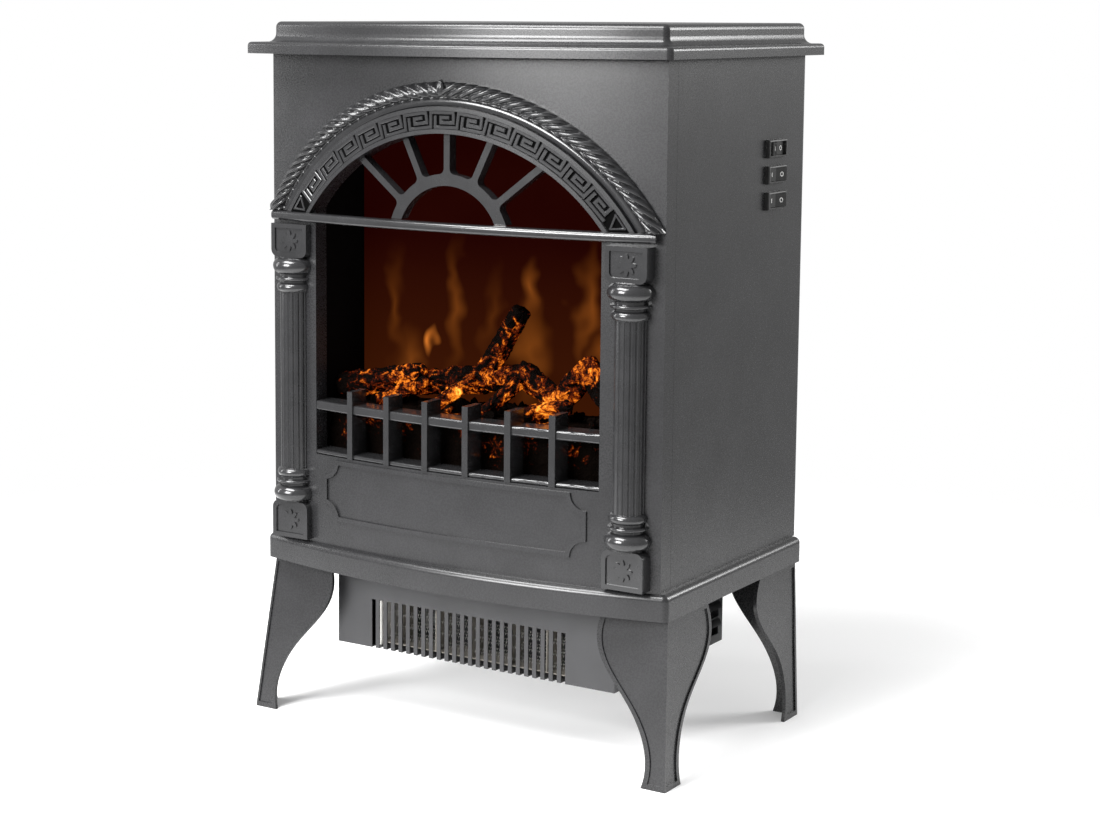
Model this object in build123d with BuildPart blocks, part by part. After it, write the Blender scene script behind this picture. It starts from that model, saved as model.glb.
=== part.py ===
from build123d import *
import os
from math import hypot, radians, sin, sqrt, tan

os.makedirs("parts", exist_ok=True)

# Millimetres. +X is right as seen from the front, the front faces -Y, +Z is up, and the floor is z = 0.
# The origin is on the floor below the middle of the lid.

# Cabinet
body_width = 355
body_depth = 248.5
body_height = 390
body_bow = 18.5
panel_wall = 2.5
return_depth = 15
sheet = 1.2
seat_gap = 0.2
running_gap = 0.05
flange_width = 12

# Lid
lid_side_overhang = 12.5
lid_front_overhang = 23.5
lid_back_overhang = 12
lid_bow = 23
lid_rim = 9
lid_crown = 16
lid_wall = 2.5
crown_side_inset = 13.5
crown_front_inset = 19.5
crown_back_inset = 9
lid_cove = 7
crown_edge_radius = 4.5
rim_edge_radius = 3
rim_corner_radius = 5

# Skirt and legs
skirt_height = 20
skirt_side_overhang = 6.5
skirt_front_overhang = 8
skirt_back_overhang = 1
skirt_bow = 24.5
skirt_wall = 2.5
skirt_edge_radius = 5
leg_height = 125
leg_wall = 3
leg_side_inset = 3
leg_side_splay = 9
leg_front_inset = 7.5
leg_front_splay = 17.5
leg_back_inset = 5.5
leg_back_splay = -8.5
foot_width = 20.5
foot_depth = 25
ankle_height = 22
ankle_width = 17
ankle_depth = 21.5
shin_height = 57
shin_width = 31
shin_depth = 35
belly_height = 99
belly_width = 58.5
belly_depth = 71
leg_top_width = 54.5
leg_top_depth = 64
leg_rim = 4
leg_panel_depth = 1.2
leg_plate_width = 34
leg_plate_depth = 40

# Window in the front panel
window_width = 259
window_sill = 217.3
arch_radius = 164
jamb_depth = 14
jamb_wall = 2
moulding_width = 241
moulding_height = 49
moulding_bottom = 166
moulding_corner = 13
moulding_line = 3.6
moulding_proud = 1.6

# Ornament round the window
key_band_width = 20.3
key_band_proud = 3.6
key_rim_width = 3.2
key_rim_proud = 5.2
rope_gap = 0.5
rope_border_width = 6
rope_border_proud = 3.2
rope_width = 12
rope_proud = 9.5
rope_edge_radius = 4.2
rope_tip_length = 13
rope_tip_width = 7
rope_tip_rise = 2
arch_lid_gap = 16.7
transom_height = 7.2
transom_rise = 89.7
transom_width = 344
transom_proud = 8
transom_edge_radius = 2.8
grille_depth = 10
hub_drop = 11.2
hub_radius = 55
hub_band = 9
spoke_width = 5.2
spoke_angles = (38, 64.5, 90, 115.5, 142)
spoke_fillet = 4.5
column_spacing = 305
block_width = 34.5
block_height = 26.5
lower_block_height = 29.5
block_foot_gap = 2
block_transom_gap = 2.5
block_proud = 9.2
block_corner = 6
block_border = 3.5
block_recess = 1.4
petal_count = 8
petal_length = 7.4
petal_width = 3.4
petal_proud = 1.1
petal_radius = 4.6
rosette_button = 1.8
shaft_radius = 12.3
flute_count = 18
flute_radius = 1.3
big_bead_radius = 18
big_bead_height = 13
small_bead_radius = 15
small_bead_height = 7.5
ring_radius = 15.8
ring_height = 2.6
big_bead_rise = 7
ring_rise = 17
small_bead_rise = 24

# Fender in front of the logs
fender_depth = 18
fender_ledge = 3.5
fender_rail = 7.5
fender_rail_base = 253
fender_post_width = 5.2
fender_post_pitch = 37
fender_post_count = 6
fender_post_top = 271.5
fender_post_proud = 1.2
fender_edge_radius = 1.6

# Fire compartment
screen_setback = 60
screen_wall = 2
fire_ceiling_drop = 45
wall_reach = 170
mask_gap = 12
mask_height = 185
flame_slot_count = 9
flame_slot_width = 9
flame_slot_height = 70
flame_slot_pitch = 26
flame_slot_sway = 2.3
flame_slot_swing = 0.3
bed_height = 45
bed_wall = 3
bed_crown_radius = 10
bed_front_gap = 2
bed_back_gap = 1
log_sink = 1.5
spindle_setback = 40
spindle_height = 47
spindle_radius = 2
flag_count = 15
flag_radius = 17
flag_width = 12
flag_wall = 0.6
flag_pitch = 16
flag_turn = 48
bush_radius = 5
bush_flange_radius = 8
bush_flange = 1.5
bush_length = 4.2
spindle_end = 1
spindle_motor_radius = 25
spindle_motor_depth = 17
spindle_motor_standoff = 3.5
spindle_motor_bore = 6
standoff_radius = 3
board_wall = 1.6
board_width = 14
ember_board_length = 200
flame_board_length = 220
led_count = 8
led_height = 2.4
led_radius = 2.5
flame_board_gap = 30

# Logs: start, end, start radius, end radius, measured from the middle of the bed's top
log_runs = {
    "left_log": ((-122, -8, 13), (-55, -6, 24), 13, 14),
    "middle_log": ((-60, 4, 18), (40, 8, 30), 14, 13),
    "knot_log": ((-2, 6, 24), (30, 10, 78), 13, 10),
    "sloping_log": ((40, 8, 30), (74, 0, 14), 13, 12),
    "right_log": ((70, -4, 14), (98, 2, 42), 12, 13),
    "end_log": ((96, 0, 42), (116, -4, 22), 13, 12),
}

# Fan heater in the base
box_width = 258
box_setback = 20
box_back_gap = 30
box_height = 68
box_wall = 1
box_flange = 8
grille_slot_count = 25
grille_slot_width = 3.8
grille_slot_pitch = 7.4
grille_shift = -5
grille_slot_top = 40
grille_slot_wrap = 5
louvre_count = 2
louvre_length = 60
louvre_height = 8
louvre_pitch = 14.5
louvre_rise = 7
louvre_back_inset = 7
louvre_lip = 3
louvre_hood = 6
inlet_slot_count = 16
inlet_slot_height = 30
inlet_slot_width = 4
inlet_slot_pitch = 9
inlet_rise = 40
element_gap = 8
element_depth = 24
element_height = 38
element_width = 172
clip_wall = 6
clip_margin = 2
mica_wall = 0.8
mica_rib_count = 5
heating_wire_radius = 1.1
heating_wire_rows = 4
heating_wire_columns = 3
fan_radius = 24
fan_length = 150
fan_shift = -10
fan_gap = 5
fan_blade_count = 20
fan_blade_depth = 6
fan_blade_wall = 0.8
fan_disc = 1.5
fan_shaft_radius = 3
fan_shaft_end = 3
fan_setback = 95
fan_axis_rise = 40
scroll_wall = 1
scroll_mouth = 30
fan_side_gap = 4
fan_motor_radius = 21
fan_motor_length = 36
fan_motor_bore = 20
cutout_length = 16
cutout_width = 8
cutout_height = 4
cutout_x = 106
box_screw_spacing = 110
box_screw_count = 3

# Switches on the right side panel
switch_setback = 177
switch_height = 463.4
switch_pitch = 20.3
bezel_length = 32
bezel_width = 14
bezel_proud = 3.8
bezel_gap = 0.3
rocker_length = 26.6
rocker_width = 10.4
rocker_tilt = 8
rocker_pivot_drop = 3
rocker_centre_rise = 1
rocker_depth = 2.4
rocker_heel = 0.8
rocker_keel = 8
rocker_pin_radius = 1
rocker_pin_length = 0.9
switch_wall = 1
switch_well = 6.4
switch_body_depth = 17
switch_blade_length = 8
switch_blade_width = 4.8
switch_blade_wall = 0.8
switch_blade_count = 3
switch_blade_pitch = 8

# Fixings and back
vent_slot_count = 20
vent_slot_width = 3.6
vent_slot_height = 26
vent_slot_pitch = 9
vent_rise = 40
vent_drop = 60
screw_radius = 1.5
screw_head_radius = 3
screw_head = 1.6
screw_length = 6
screw_rows = 4
screw_margin = 18
leg_screw_radius = 2
leg_screw_head_radius = 4
leg_screw_length = 9
leg_screw_spacing = 18
gland_x = 118
gland_rise = 30
gland_radius = 6
gland_flange_radius = 9
gland_flange = 3
gland_nut = 4
gland_bore = 3.6
gland_length = 12
wire_hole_radius = 7
driver_length = 60
driver_width = 30
driver_height = 20
driver_x = -80
terminal_length = 44
terminal_width = 16
terminal_height = 12
terminal_ways = 3
terminal_x = 50
terminal_hole_radius = 2.5
terminal_well = 8

# Places worked out from the sizes above
half_body = body_width / 2
lid_depth = lid_front_overhang + body_depth + lid_back_overhang
lid_front = -lid_depth / 2
body_front = lid_front + lid_front_overhang
body_back = body_front + body_depth
front_corner = body_front + body_bow
body_radius = (half_body**2 + body_bow**2) / (2 * body_bow)
deck = leg_height + skirt_height
lid_base = deck + body_height
stove_height = lid_base + lid_rim + lid_crown
panel_top = lid_base + lid_rim - lid_wall
half_window = window_width / 2
column_x = column_spacing / 2
key_outer = arch_radius + key_band_width
border_inner = key_outer + rope_gap
rope_inner = border_inner + rope_border_width
rope_outer = rope_inner + rope_width
arch_centre = lid_base - (arch_lid_gap + rope_tip_rise + rope_outer)
transom_base = arch_centre + transom_rise
transom_top = transom_base + transom_height
hub_height = transom_base - hub_drop
fire_ceiling = lid_base - fire_ceiling_drop


def front_line(x):
    """Y of the bowed front at this x."""
    return body_front + body_radius - sqrt(body_radius**2 - x**2)


column_y = front_line(column_x)
block_face = column_y - block_proud
upper_block_base = transom_base - block_transom_gap - block_height
lower_block_base = deck + block_foot_gap
lower_block_top = lower_block_base + lower_block_height
fire_floor = window_sill - jamb_wall - seat_gap / 2
fire_half = half_window + jamb_wall + seat_gap
fire_front = front_corner
screen_front = front_corner + screen_setback
mask_front = screen_front + screen_wall + mask_gap
spindle_y = screen_front + spindle_setback
spindle_z = fire_floor + spindle_height
box_front = front_corner + box_setback
box_back = body_back - box_back_gap
box_depth = box_back - box_front
box_base = leg_height - box_height
box_top = deck - skirt_wall
switch_y = front_corner + switch_setback

# Front view: a sketch here has X across and Z up, and its extrusion runs forward through the front
front_view = Plane.XZ.offset(-(front_corner + 2 * flange_width))
front_run = front_view.origin.Y - lid_front + jamb_depth


def front_shell(low, high):
    """The space between two sheets parallel to the bowed front, by their heights over it."""
    with BuildPart() as shell:
        with BuildSketch():
            with Locations((0, body_front + body_radius)):
                Circle(body_radius + high)
                Circle(body_radius + low, mode=Mode.SUBTRACT)
        extrude(amount=stove_height)
    return shell.part


def on_front(face, low, high):
    """A solid with this outline in front view, between two heights over the bowed front."""
    with BuildPart() as piece:
        extrude(face, amount=front_run, dir=(0, -1, 0))
        add(front_shell(low, high), mode=Mode.INTERSECT)
    return piece.part


def bowed_plan(half_width, front, bow, back, level, corner=0.0, inset=0.0):
    """A plan with a bowed front edge, at this level, drawn in by the inset."""
    with BuildSketch(Plane.XY.offset(level)) as plan:
        with BuildLine():
            ThreePointArc((-half_width, front + bow), (0, front), (half_width, front + bow))
            Polyline(
                (half_width, front + bow),
                (half_width, back),
                (-half_width, back),
                (-half_width, front + bow),
            )
        make_face()
        if corner:
            fillet(plan.vertices(), corner)
        if inset:
            offset(amount=-inset, kind=Kind.INTERSECTION, mode=Mode.REPLACE)
    return plan.sketch


def window_face(grow=0.0):
    """The arch-headed window seen from the front, wider by grow all round."""
    with BuildSketch(front_view) as window:
        with Locations((0, window_sill - grow)):
            Rectangle(window_width + 2 * grow, lid_base, align=(Align.CENTER, Align.MIN))
        with Locations((0, arch_centre)):
            Circle(arch_radius + grow, mode=Mode.INTERSECT)
    return window.sketch


def arch_ring(inner, outer):
    """A ring about the arch's centre, above the transom, seen from the front."""
    with BuildSketch(front_view) as ring:
        with Locations((0, arch_centre)):
            Circle(outer)
            Circle(inner, mode=Mode.SUBTRACT)
        with Locations((0, transom_top + seat_gap)):
            Rectangle(4 * outer, 4 * outer, align=(Align.CENTER, Align.MAX), mode=Mode.SUBTRACT)
    return ring.sketch


# Lid: a hollow pressed cover with a rim, a cove and a raised crown
lid_half = half_body + lid_side_overhang
lid_back = body_back + lid_back_overhang
crown_half = lid_half - crown_side_inset
crown_front = lid_front + crown_front_inset
crown_back = lid_back - crown_back_inset
rim_top = lid_base + lid_rim

with BuildPart() as top_cover:
    add(bowed_plan(lid_half, lid_front, lid_bow, lid_back, lid_base, rim_corner_radius))
    extrude(amount=lid_rim)
    rim_edges = top_cover.edges().filter_by_position(Axis.Z, rim_top, rim_top)
    fillet(rim_edges, rim_edge_radius)
    add(bowed_plan(crown_half, crown_front, lid_bow, crown_back, rim_top, rim_corner_radius))
    extrude(amount=lid_crown)
    foot_edges = top_cover.edges(Select.LAST).filter_by_position(Axis.Z, rim_top, rim_top)
    fillet(foot_edges, lid_cove)
    crown_edges = top_cover.edges().filter_by_position(Axis.Z, stove_height, stove_height)
    fillet(crown_edges, crown_edge_radius)
    add(bowed_plan(lid_half, lid_front, lid_bow, lid_back, lid_base, inset=lid_wall))
    extrude(amount=lid_rim - lid_wall, mode=Mode.SUBTRACT)
    add(bowed_plan(crown_half, crown_front, lid_bow, crown_back, lid_base, inset=lid_wall))
    extrude(amount=lid_rim + lid_crown - lid_wall, mode=Mode.SUBTRACT)
top_cover.part.label = "top_cover"
export_step(top_cover.part, "parts/top_cover.step")

# Front panel: a bowed sheet with side returns, an arch-headed window with jambs and a moulded border
with BuildSketch(front_view) as moulding_face:
    with Locations((0, moulding_bottom)):
        Rectangle(moulding_width, moulding_height, align=(Align.CENTER, Align.MIN))
    with Locations((0, moulding_bottom + moulding_height / 2)):
        with GridLocations(moulding_width, moulding_height, 2, 2):
            Circle(moulding_corner, mode=Mode.SUBTRACT)
    offset(amount=-moulding_line, kind=Kind.INTERSECTION, mode=Mode.SUBTRACT)

with BuildPart() as front_panel:
    add(bowed_plan(half_body, body_front, body_bow, front_corner + return_depth, deck))
    extrude(amount=panel_top - deck)
    with BuildSketch(Plane.XY.offset(deck)):
        with Locations((0, body_front + body_radius)):
            Circle(body_radius - panel_wall)
        Rectangle(body_width - 2 * panel_wall, 2 * body_depth, mode=Mode.INTERSECT)
    extrude(amount=panel_top - deck, mode=Mode.SUBTRACT)
    add(on_front(window_face(jamb_wall), -jamb_depth, -panel_wall / 2))
    extrude(window_face(), amount=front_run, dir=(0, -1, 0), mode=Mode.SUBTRACT)
    add(on_front(moulding_face.sketch, -panel_wall / 2, moulding_proud))
front_panel.part.label = "front_panel"
export_step(front_panel.part, "parts/front_panel.step")

# Side panels: flat sheets with a lip behind the front panel's return and a flange for the back
lip_x = half_body - panel_wall - seat_gap
side_front = front_corner + return_depth + seat_gap
sheet_back = body_back - sheet


def side_panel(side):
    """One side panel, on the left for side -1 and on the right for side 1."""
    with BuildPart() as panel:
        with BuildSketch(Plane.XY.offset(deck)):
            with BuildLine():
                Polyline(
                    (side * half_body, side_front),
                    (side * half_body, sheet_back),
                    (side * (half_body - flange_width), sheet_back),
                    (side * (half_body - flange_width), sheet_back - sheet),
                    (side * (half_body - sheet), sheet_back - sheet),
                    (side * (half_body - sheet), side_front + sheet),
                    (side * (lip_x - sheet), side_front + sheet),
                    (side * (lip_x - sheet), side_front - return_depth / 2),
                    (side * lip_x, side_front - return_depth / 2),
                    (side * lip_x, side_front),
                    close=True,
                )
            make_face()
        extrude(amount=panel_top - deck)
        with Locations(Plane.XZ.offset(-sheet_back)):
            with Locations(*[(side * screw_x, level) for level in screw_levels]):
                Cylinder(screw_radius + running_gap, 4 * sheet, mode=Mode.SUBTRACT)
    return panel


screw_x = half_body - flange_width / 2
screw_step = (panel_top - deck - 2 * screw_margin) / (screw_rows - 1)
screw_levels = [deck + screw_margin + row * screw_step for row in range(screw_rows)]

left_side_panel = side_panel(-1)
left_side_panel.part.label = "left_side_panel"
export_step(left_side_panel.part, "parts/left_side_panel.step")

pivot_x = half_body + bezel_proud - rocker_pivot_drop
rocker_end_rise = rocker_centre_rise + rocker_length / 2 * tan(radians(rocker_tilt))
rocker_reach = hypot(rocker_length / 2, rocker_end_rise)
well_length = 2 * (rocker_reach + bezel_gap)
well_width = rocker_width + 2 * bezel_gap
shell_length = well_length + 2 * switch_wall
shell_width = well_width + 2 * switch_wall
switch_names = ("main", "low_heat", "high_heat")
switch_levels = [switch_height - row * switch_pitch for row in range(len(switch_names))]
with BuildPart() as right_side_panel:
    add(side_panel(1).part)
    with Locations(*[(half_body, switch_y, level) for level in switch_levels]):
        Box(
            4 * sheet,
            shell_length + 2 * seat_gap,
            shell_width + 2 * seat_gap,
            mode=Mode.SUBTRACT,
        )
right_side_panel.part.label = "right_side_panel"
export_step(right_side_panel.part, "parts/right_side_panel.step")

# Back panel: a flat sheet with two rows of vent slots, the gland's hole and eight screws
back_view = Plane.XZ.offset(-body_back)
gland_z = deck + gland_rise
with BuildPart() as back_panel:
    with BuildSketch(back_view):
        with Locations((0, deck)):
            Rectangle(body_width, panel_top - deck, align=(Align.CENTER, Align.MIN))
        for level in (deck + vent_rise, panel_top - vent_drop):
            with Locations((0, level)):
                with GridLocations(vent_slot_pitch, 0, vent_slot_count, 1):
                    SlotOverall(vent_slot_height, vent_slot_width, 90, mode=Mode.SUBTRACT)
        with Locations((gland_x, gland_z)):
            Circle(gland_radius + running_gap, mode=Mode.SUBTRACT)
        with Locations(*[(side * screw_x, level) for level in screw_levels for side in (-1, 1)]):
            Circle(screw_radius + running_gap, mode=Mode.SUBTRACT)
    extrude(amount=sheet)
back_panel.part.label = "back_panel"
export_step(back_panel.part, "parts/back_panel.step")

with BuildPart() as back_panel_screws:
    with Locations(Plane.XZ.offset(-body_back)):
        with Locations(*[(side * screw_x, level) for level in screw_levels for side in (-1, 1)]):
            Cylinder(screw_radius, screw_length, align=(Align.CENTER, Align.CENTER, Align.MIN))
            Cylinder(
                screw_head_radius,
                screw_head,
                align=(Align.CENTER, Align.CENTER, Align.MAX),
            )
back_panel_screws.part.label = "back_panel_screws"
export_step(back_panel_screws.part, "parts/back_panel_screws.step")

# Cord gland: a flanged bush with a nut inside, and no cord in it
with BuildPart() as cord_gland:
    with Locations(Plane(origin=(gland_x, body_back, gland_z), z_dir=(0, 1, 0))):
        Cylinder(gland_flange_radius, gland_flange, align=(Align.CENTER, Align.CENTER, Align.MIN))
        Cylinder(gland_radius, gland_length, align=(Align.CENTER, Align.CENTER, Align.MAX))
        with Locations((0, 0, -sheet)):
            Cylinder(gland_flange_radius, gland_nut, align=(Align.CENTER, Align.CENTER, Align.MAX))
        Cylinder(gland_bore, 4 * gland_length, mode=Mode.SUBTRACT)
cord_gland.part.label = "cord_gland"
export_step(cord_gland.part, "parts/cord_gland.step")

# Skirt: a hollow tray under the cabinet, with holes for the legs' screws and the heater's wires
skirt_half = half_body + skirt_side_overhang
skirt_front = body_front - skirt_front_overhang
skirt_back = body_back + skirt_back_overhang
leg_corner_x = skirt_half - leg_side_inset
leg_front_y = skirt_front + skirt_bow + leg_front_inset
leg_back_y = skirt_back - leg_back_inset
plate_x = leg_corner_x - leg_side_inset - leg_plate_width / 2
plate_front_y = leg_front_y + 2 * leg_wall + leg_plate_depth / 2
plate_back_y = leg_back_y - leg_wall - leg_plate_depth / 2
leg_screw_places = [
    (side * plate_x, y + end * leg_screw_spacing / 2)
    for side in (-1, 1)
    for y in (plate_front_y, plate_back_y)
    for end in (-1, 1)
]
box_screw_places = [
    (place * box_screw_spacing, y)
    for place in range(-(box_screw_count // 2), box_screw_count // 2 + 1)
    for y in (box_front - box_flange / 2, box_back + box_flange / 2)
]
wire_hole_y = box_back - 3 * wire_hole_radius
with BuildPart() as base_skirt:
    add(bowed_plan(skirt_half, skirt_front, skirt_bow, skirt_back, leg_height, rim_corner_radius))
    extrude(amount=skirt_height)
    fillet(base_skirt.edges().filter_by_position(Axis.Z, deck, deck), skirt_edge_radius)
    add(bowed_plan(skirt_half, skirt_front, skirt_bow, skirt_back, leg_height, inset=skirt_wall))
    extrude(amount=skirt_height - skirt_wall, mode=Mode.SUBTRACT)
    with BuildSketch(Plane.XY.offset(deck)):
        with Locations(*leg_screw_places):
            Circle(leg_screw_radius + running_gap)
        with Locations(*box_screw_places):
            Circle(screw_radius + running_gap)
        with Locations((half_body / 2, wire_hole_y)):
            Circle(wire_hole_radius)
    extrude(amount=-2 * skirt_wall, mode=Mode.SUBTRACT)
base_skirt.part.label = "base_skirt"
export_step(base_skirt.part, "parts/base_skirt.step")


# Legs: two curved plates that meet at a splayed outer corner, with a sunk panel and a top plate
def leg_face(lean, widths, inset=0.0):
    """Outline of one plate, whose outer edge leans in, with its widths from the foot to the top."""
    foot, ankle, shin, belly, top = [width - inset for width in widths]
    reach = leg_height + skirt_height
    with BuildSketch() as face:
        with BuildLine():
            curve = Spline(
                (foot, 0),
                (lean * ankle_height / leg_height + ankle, ankle_height),
                (lean * shin_height / leg_height + shin, shin_height),
                (lean * belly_height / leg_height + belly, belly_height),
                (lean + top, leg_height),
            )
            Polyline(
                curve @ 1,
                (lean + top, reach),
                (lean * reach / leg_height + inset / 2, reach),
                (inset / 2 - lean * leg_wall / leg_height, -leg_wall),
                (foot, -leg_wall),
                curve @ 0,
            )
        make_face()
        if inset:
            with Locations((0, inset)):
                Rectangle(8 * foot, leg_height, align=(Align.CENTER, Align.MAX), mode=Mode.SUBTRACT)
            with Locations((0, leg_height - inset)):
                Rectangle(8 * top, leg_height, align=(Align.CENTER, Align.MIN), mode=Mode.SUBTRACT)
    return face.sketch


def leg(side, corner_y, splay_y, inward):
    """One leg; inward is 1 where the leg's plates run to the rear and -1 where they run forward."""
    foot_x = side * (leg_corner_x + leg_side_splay)
    foot_y = corner_y - inward * splay_y
    front_widths = (foot_width, ankle_width, shin_width, belly_width, leg_top_width)
    side_widths = (foot_depth, ankle_depth, shin_depth, belly_depth, leg_top_depth)
    rise_y = Vector(0, inward * splay_y, leg_height).normalized()
    rise_x = Vector(-side * leg_side_splay, 0, leg_height).normalized()
    across = Vector(-side, 0, 0)
    along = Vector(0, inward, 0)
    plates = (
        (Plane(origin=(foot_x, foot_y, 0), x_dir=across, z_dir=across.cross(rise_y)),
         leg_side_splay, front_widths, along),
        (Plane(origin=(foot_x, foot_y, 0), x_dir=along, z_dir=along.cross(rise_x)),
         splay_y, side_widths, across),
    )
    with BuildPart() as one_leg:
        for plane, lean, widths, inner in plates:
            into = 1 if plane.z_dir.dot(inner) > 0 else -1
            extrude(plane * leg_face(lean, widths), amount=leg_wall, dir=plane.z_dir * into)
        for plane, lean, widths, inner in plates:
            into = 1 if plane.z_dir.dot(inner) > 0 else -1
            panel = plane * leg_face(lean, widths, leg_rim)
            extrude(panel, amount=leg_panel_depth, dir=plane.z_dir * into, mode=Mode.SUBTRACT)
        with Locations((side * plate_x, plate_front_y if inward > 0 else plate_back_y, box_top)):
            Box(
                leg_plate_width + leg_wall, leg_plate_depth + 2 * leg_wall, leg_wall,
                align=(Align.CENTER, Align.CENTER, Align.MAX),
            )
            with GridLocations(0, leg_screw_spacing, 1, 2):
                Cylinder(leg_screw_radius + running_gap, 4 * leg_wall, mode=Mode.SUBTRACT)
        split(bisect_by=Plane.XY, keep=Keep.TOP)
        split(bisect_by=Plane.XY.offset(box_top), keep=Keep.BOTTOM)
    return one_leg


leg_rows = {
    "front_left_leg": (-1, leg_front_y, leg_front_splay, 1),
    "front_right_leg": (1, leg_front_y, leg_front_splay, 1),
    "rear_left_leg": (-1, leg_back_y, leg_back_splay, -1),
    "rear_right_leg": (1, leg_back_y, leg_back_splay, -1),
}
for leg_name, (side, corner_y, splay_y, inward) in leg_rows.items():
    piece = leg(side, corner_y, splay_y, inward)
    piece.part.label = leg_name
    export_step(piece.part, f"parts/{leg_name}.step")

with BuildPart() as leg_screws:
    with Locations(*[(x, y, box_top - leg_wall) for x, y in leg_screw_places]):
        Cylinder(leg_screw_radius, leg_screw_length, align=(Align.CENTER, Align.CENTER, Align.MIN))
        Cylinder(leg_screw_head_radius, screw_head, align=(Align.CENTER, Align.CENTER, Align.MAX))
leg_screws.part.label = "leg_screws"
export_step(leg_screws.part, "parts/leg_screws.step")

# Key band: a flat ring with a raised rim on each side, round the head of the window
with BuildPart() as key_band:
    add(on_front(arch_ring(arch_radius, key_outer), seat_gap, key_band_proud))
    add(on_front(arch_ring(arch_radius, arch_radius + key_rim_width), seat_gap, key_rim_proud))
    add(on_front(arch_ring(key_outer - key_rim_width, key_outer), seat_gap, key_rim_proud))
key_band.part.label = "key_band"
export_step(key_band.part, "parts/key_band.step")

# Rope arch: a round-edged rope on a flat border, with a leaf at its top
with BuildSketch(front_view) as rope_tip:
    with Locations((0, arch_centre + rope_outer - rope_tip_length / 2 + rope_tip_rise)):
        Ellipse(rope_tip_width / 2, rope_tip_length / 2)
with BuildPart() as rope_arch:
    add(on_front(arch_ring(rope_inner, rope_outer), seat_gap, rope_proud))
    front_edges = rope_arch.edges().filter_by(
        lambda edge: abs(hypot(edge.center().X, edge.center().Y - body_front - body_radius)
                         - body_radius - rope_proud) < rope_edge_radius
        and edge.length > rope_outer
    )
    fillet(front_edges, rope_edge_radius)
    add(on_front(arch_ring(border_inner, rope_inner + seat_gap), seat_gap, rope_border_proud))
    add(on_front(rope_tip.sketch, seat_gap, rope_proud))
rope_arch.part.label = "rope_arch"
export_step(rope_arch.part, "parts/rope_arch.step")

# Transom bar: a rounded bar across the front, with a web behind it in the window
with BuildSketch(front_view) as bar_face:
    with Locations((0, transom_base)):
        Rectangle(transom_width, transom_height, align=(Align.CENTER, Align.MIN))
with BuildSketch(front_view) as web_face:
    with Locations((0, transom_base)):
        Rectangle(
            window_width - 2 * seat_gap, transom_height, align=(Align.CENTER, Align.MIN)
        )
with BuildPart() as transom_bar:
    add(on_front(bar_face.sketch, seat_gap, transom_proud))
    bar_edges = transom_bar.faces().sort_by(Axis.Y)[0].edges()
    fillet(bar_edges, transom_edge_radius)
    add(on_front(web_face.sketch, -grille_depth, seat_gap + sheet))
transom_bar.part.label = "transom_bar"
export_step(transom_bar.part, "parts/transom_bar.step")

# Sunburst: a half-ring hub on the transom with spokes out to the window's head
with BuildSketch(front_view) as sunburst_face:
    with Locations((0, hub_height)):
        Circle(hub_radius)
    for angle in spoke_angles:
        with Locations(Location((0, hub_height), angle)):
            Rectangle(2 * arch_radius, spoke_width, align=(Align.MIN, Align.CENTER))
    hub_corners = sunburst_face.vertices().filter_by(
        lambda point: abs(hypot(point.X, point.Y - hub_height) - hub_radius) < seat_gap
        and point.Y > transom_top
    )
    fillet(hub_corners, spoke_fillet)
    with Locations((0, hub_height)):
        Circle(hub_radius - hub_band, mode=Mode.SUBTRACT)
    with Locations((0, arch_centre)):
        Circle(arch_radius - seat_gap, mode=Mode.INTERSECT)
    with Locations((0, transom_top + seat_gap)):
        Rectangle(
            4 * arch_radius, 4 * arch_radius, align=(Align.CENTER, Align.MAX), mode=Mode.SUBTRACT
        )
with BuildPart() as sunburst:
    add(on_front(sunburst_face.sketch, -grille_depth, -jamb_wall / 2))
sunburst.part.label = "sunburst"
export_step(sunburst.part, "parts/sunburst.step")

# Columns: a fluted half-round shaft with beads and a ring at each end
column_bottom = lower_block_top
column_top = upper_block_base
bead_rows = (
    (big_bead_rise, big_bead_radius, big_bead_height),
    (ring_rise, ring_radius, ring_height),
    (small_bead_rise, small_bead_radius, small_bead_height),
)


def column(side):
    """One column on the bowed front, cut off behind where it meets the panel."""
    x = side * column_x
    axis_plane = Plane(origin=(x, column_y, 0), x_dir=(1, 0, 0), z_dir=(0, -1, 0))
    flute_low = column_bottom + small_bead_rise
    flute_high = column_top - small_bead_rise
    with BuildPart() as one_column:
        with BuildSketch(axis_plane):
            with Locations((0, column_bottom)):
                Rectangle(shaft_radius, column_top - column_bottom, align=Align.MIN)
            for rise, radius, height in bead_rows:
                for level in (column_bottom + rise, column_top - rise):
                    with Locations((0, level)):
                        Rectangle(
                            radius - height / 2, height, align=(Align.MIN, Align.CENTER)
                        )
                    with Locations((radius - height / 2, level)):
                        Circle(height / 2)
        revolve(axis=Axis((x, column_y, 0), (0, 0, 1)))
        with Locations((x, column_y, (flute_low + flute_high) / 2)):
            with PolarLocations(shaft_radius + flute_radius / 2, flute_count):
                Cylinder(flute_radius, flute_high - flute_low - small_bead_height, mode=Mode.SUBTRACT)
        add(front_shell(seat_gap, 2 * big_bead_radius), mode=Mode.INTERSECT)
    return one_column


for column_name, side in {"left_column": -1, "right_column": 1}.items():
    piece = column(side)
    piece.part.label = column_name
    export_step(piece.part, f"parts/{column_name}.step")


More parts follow.
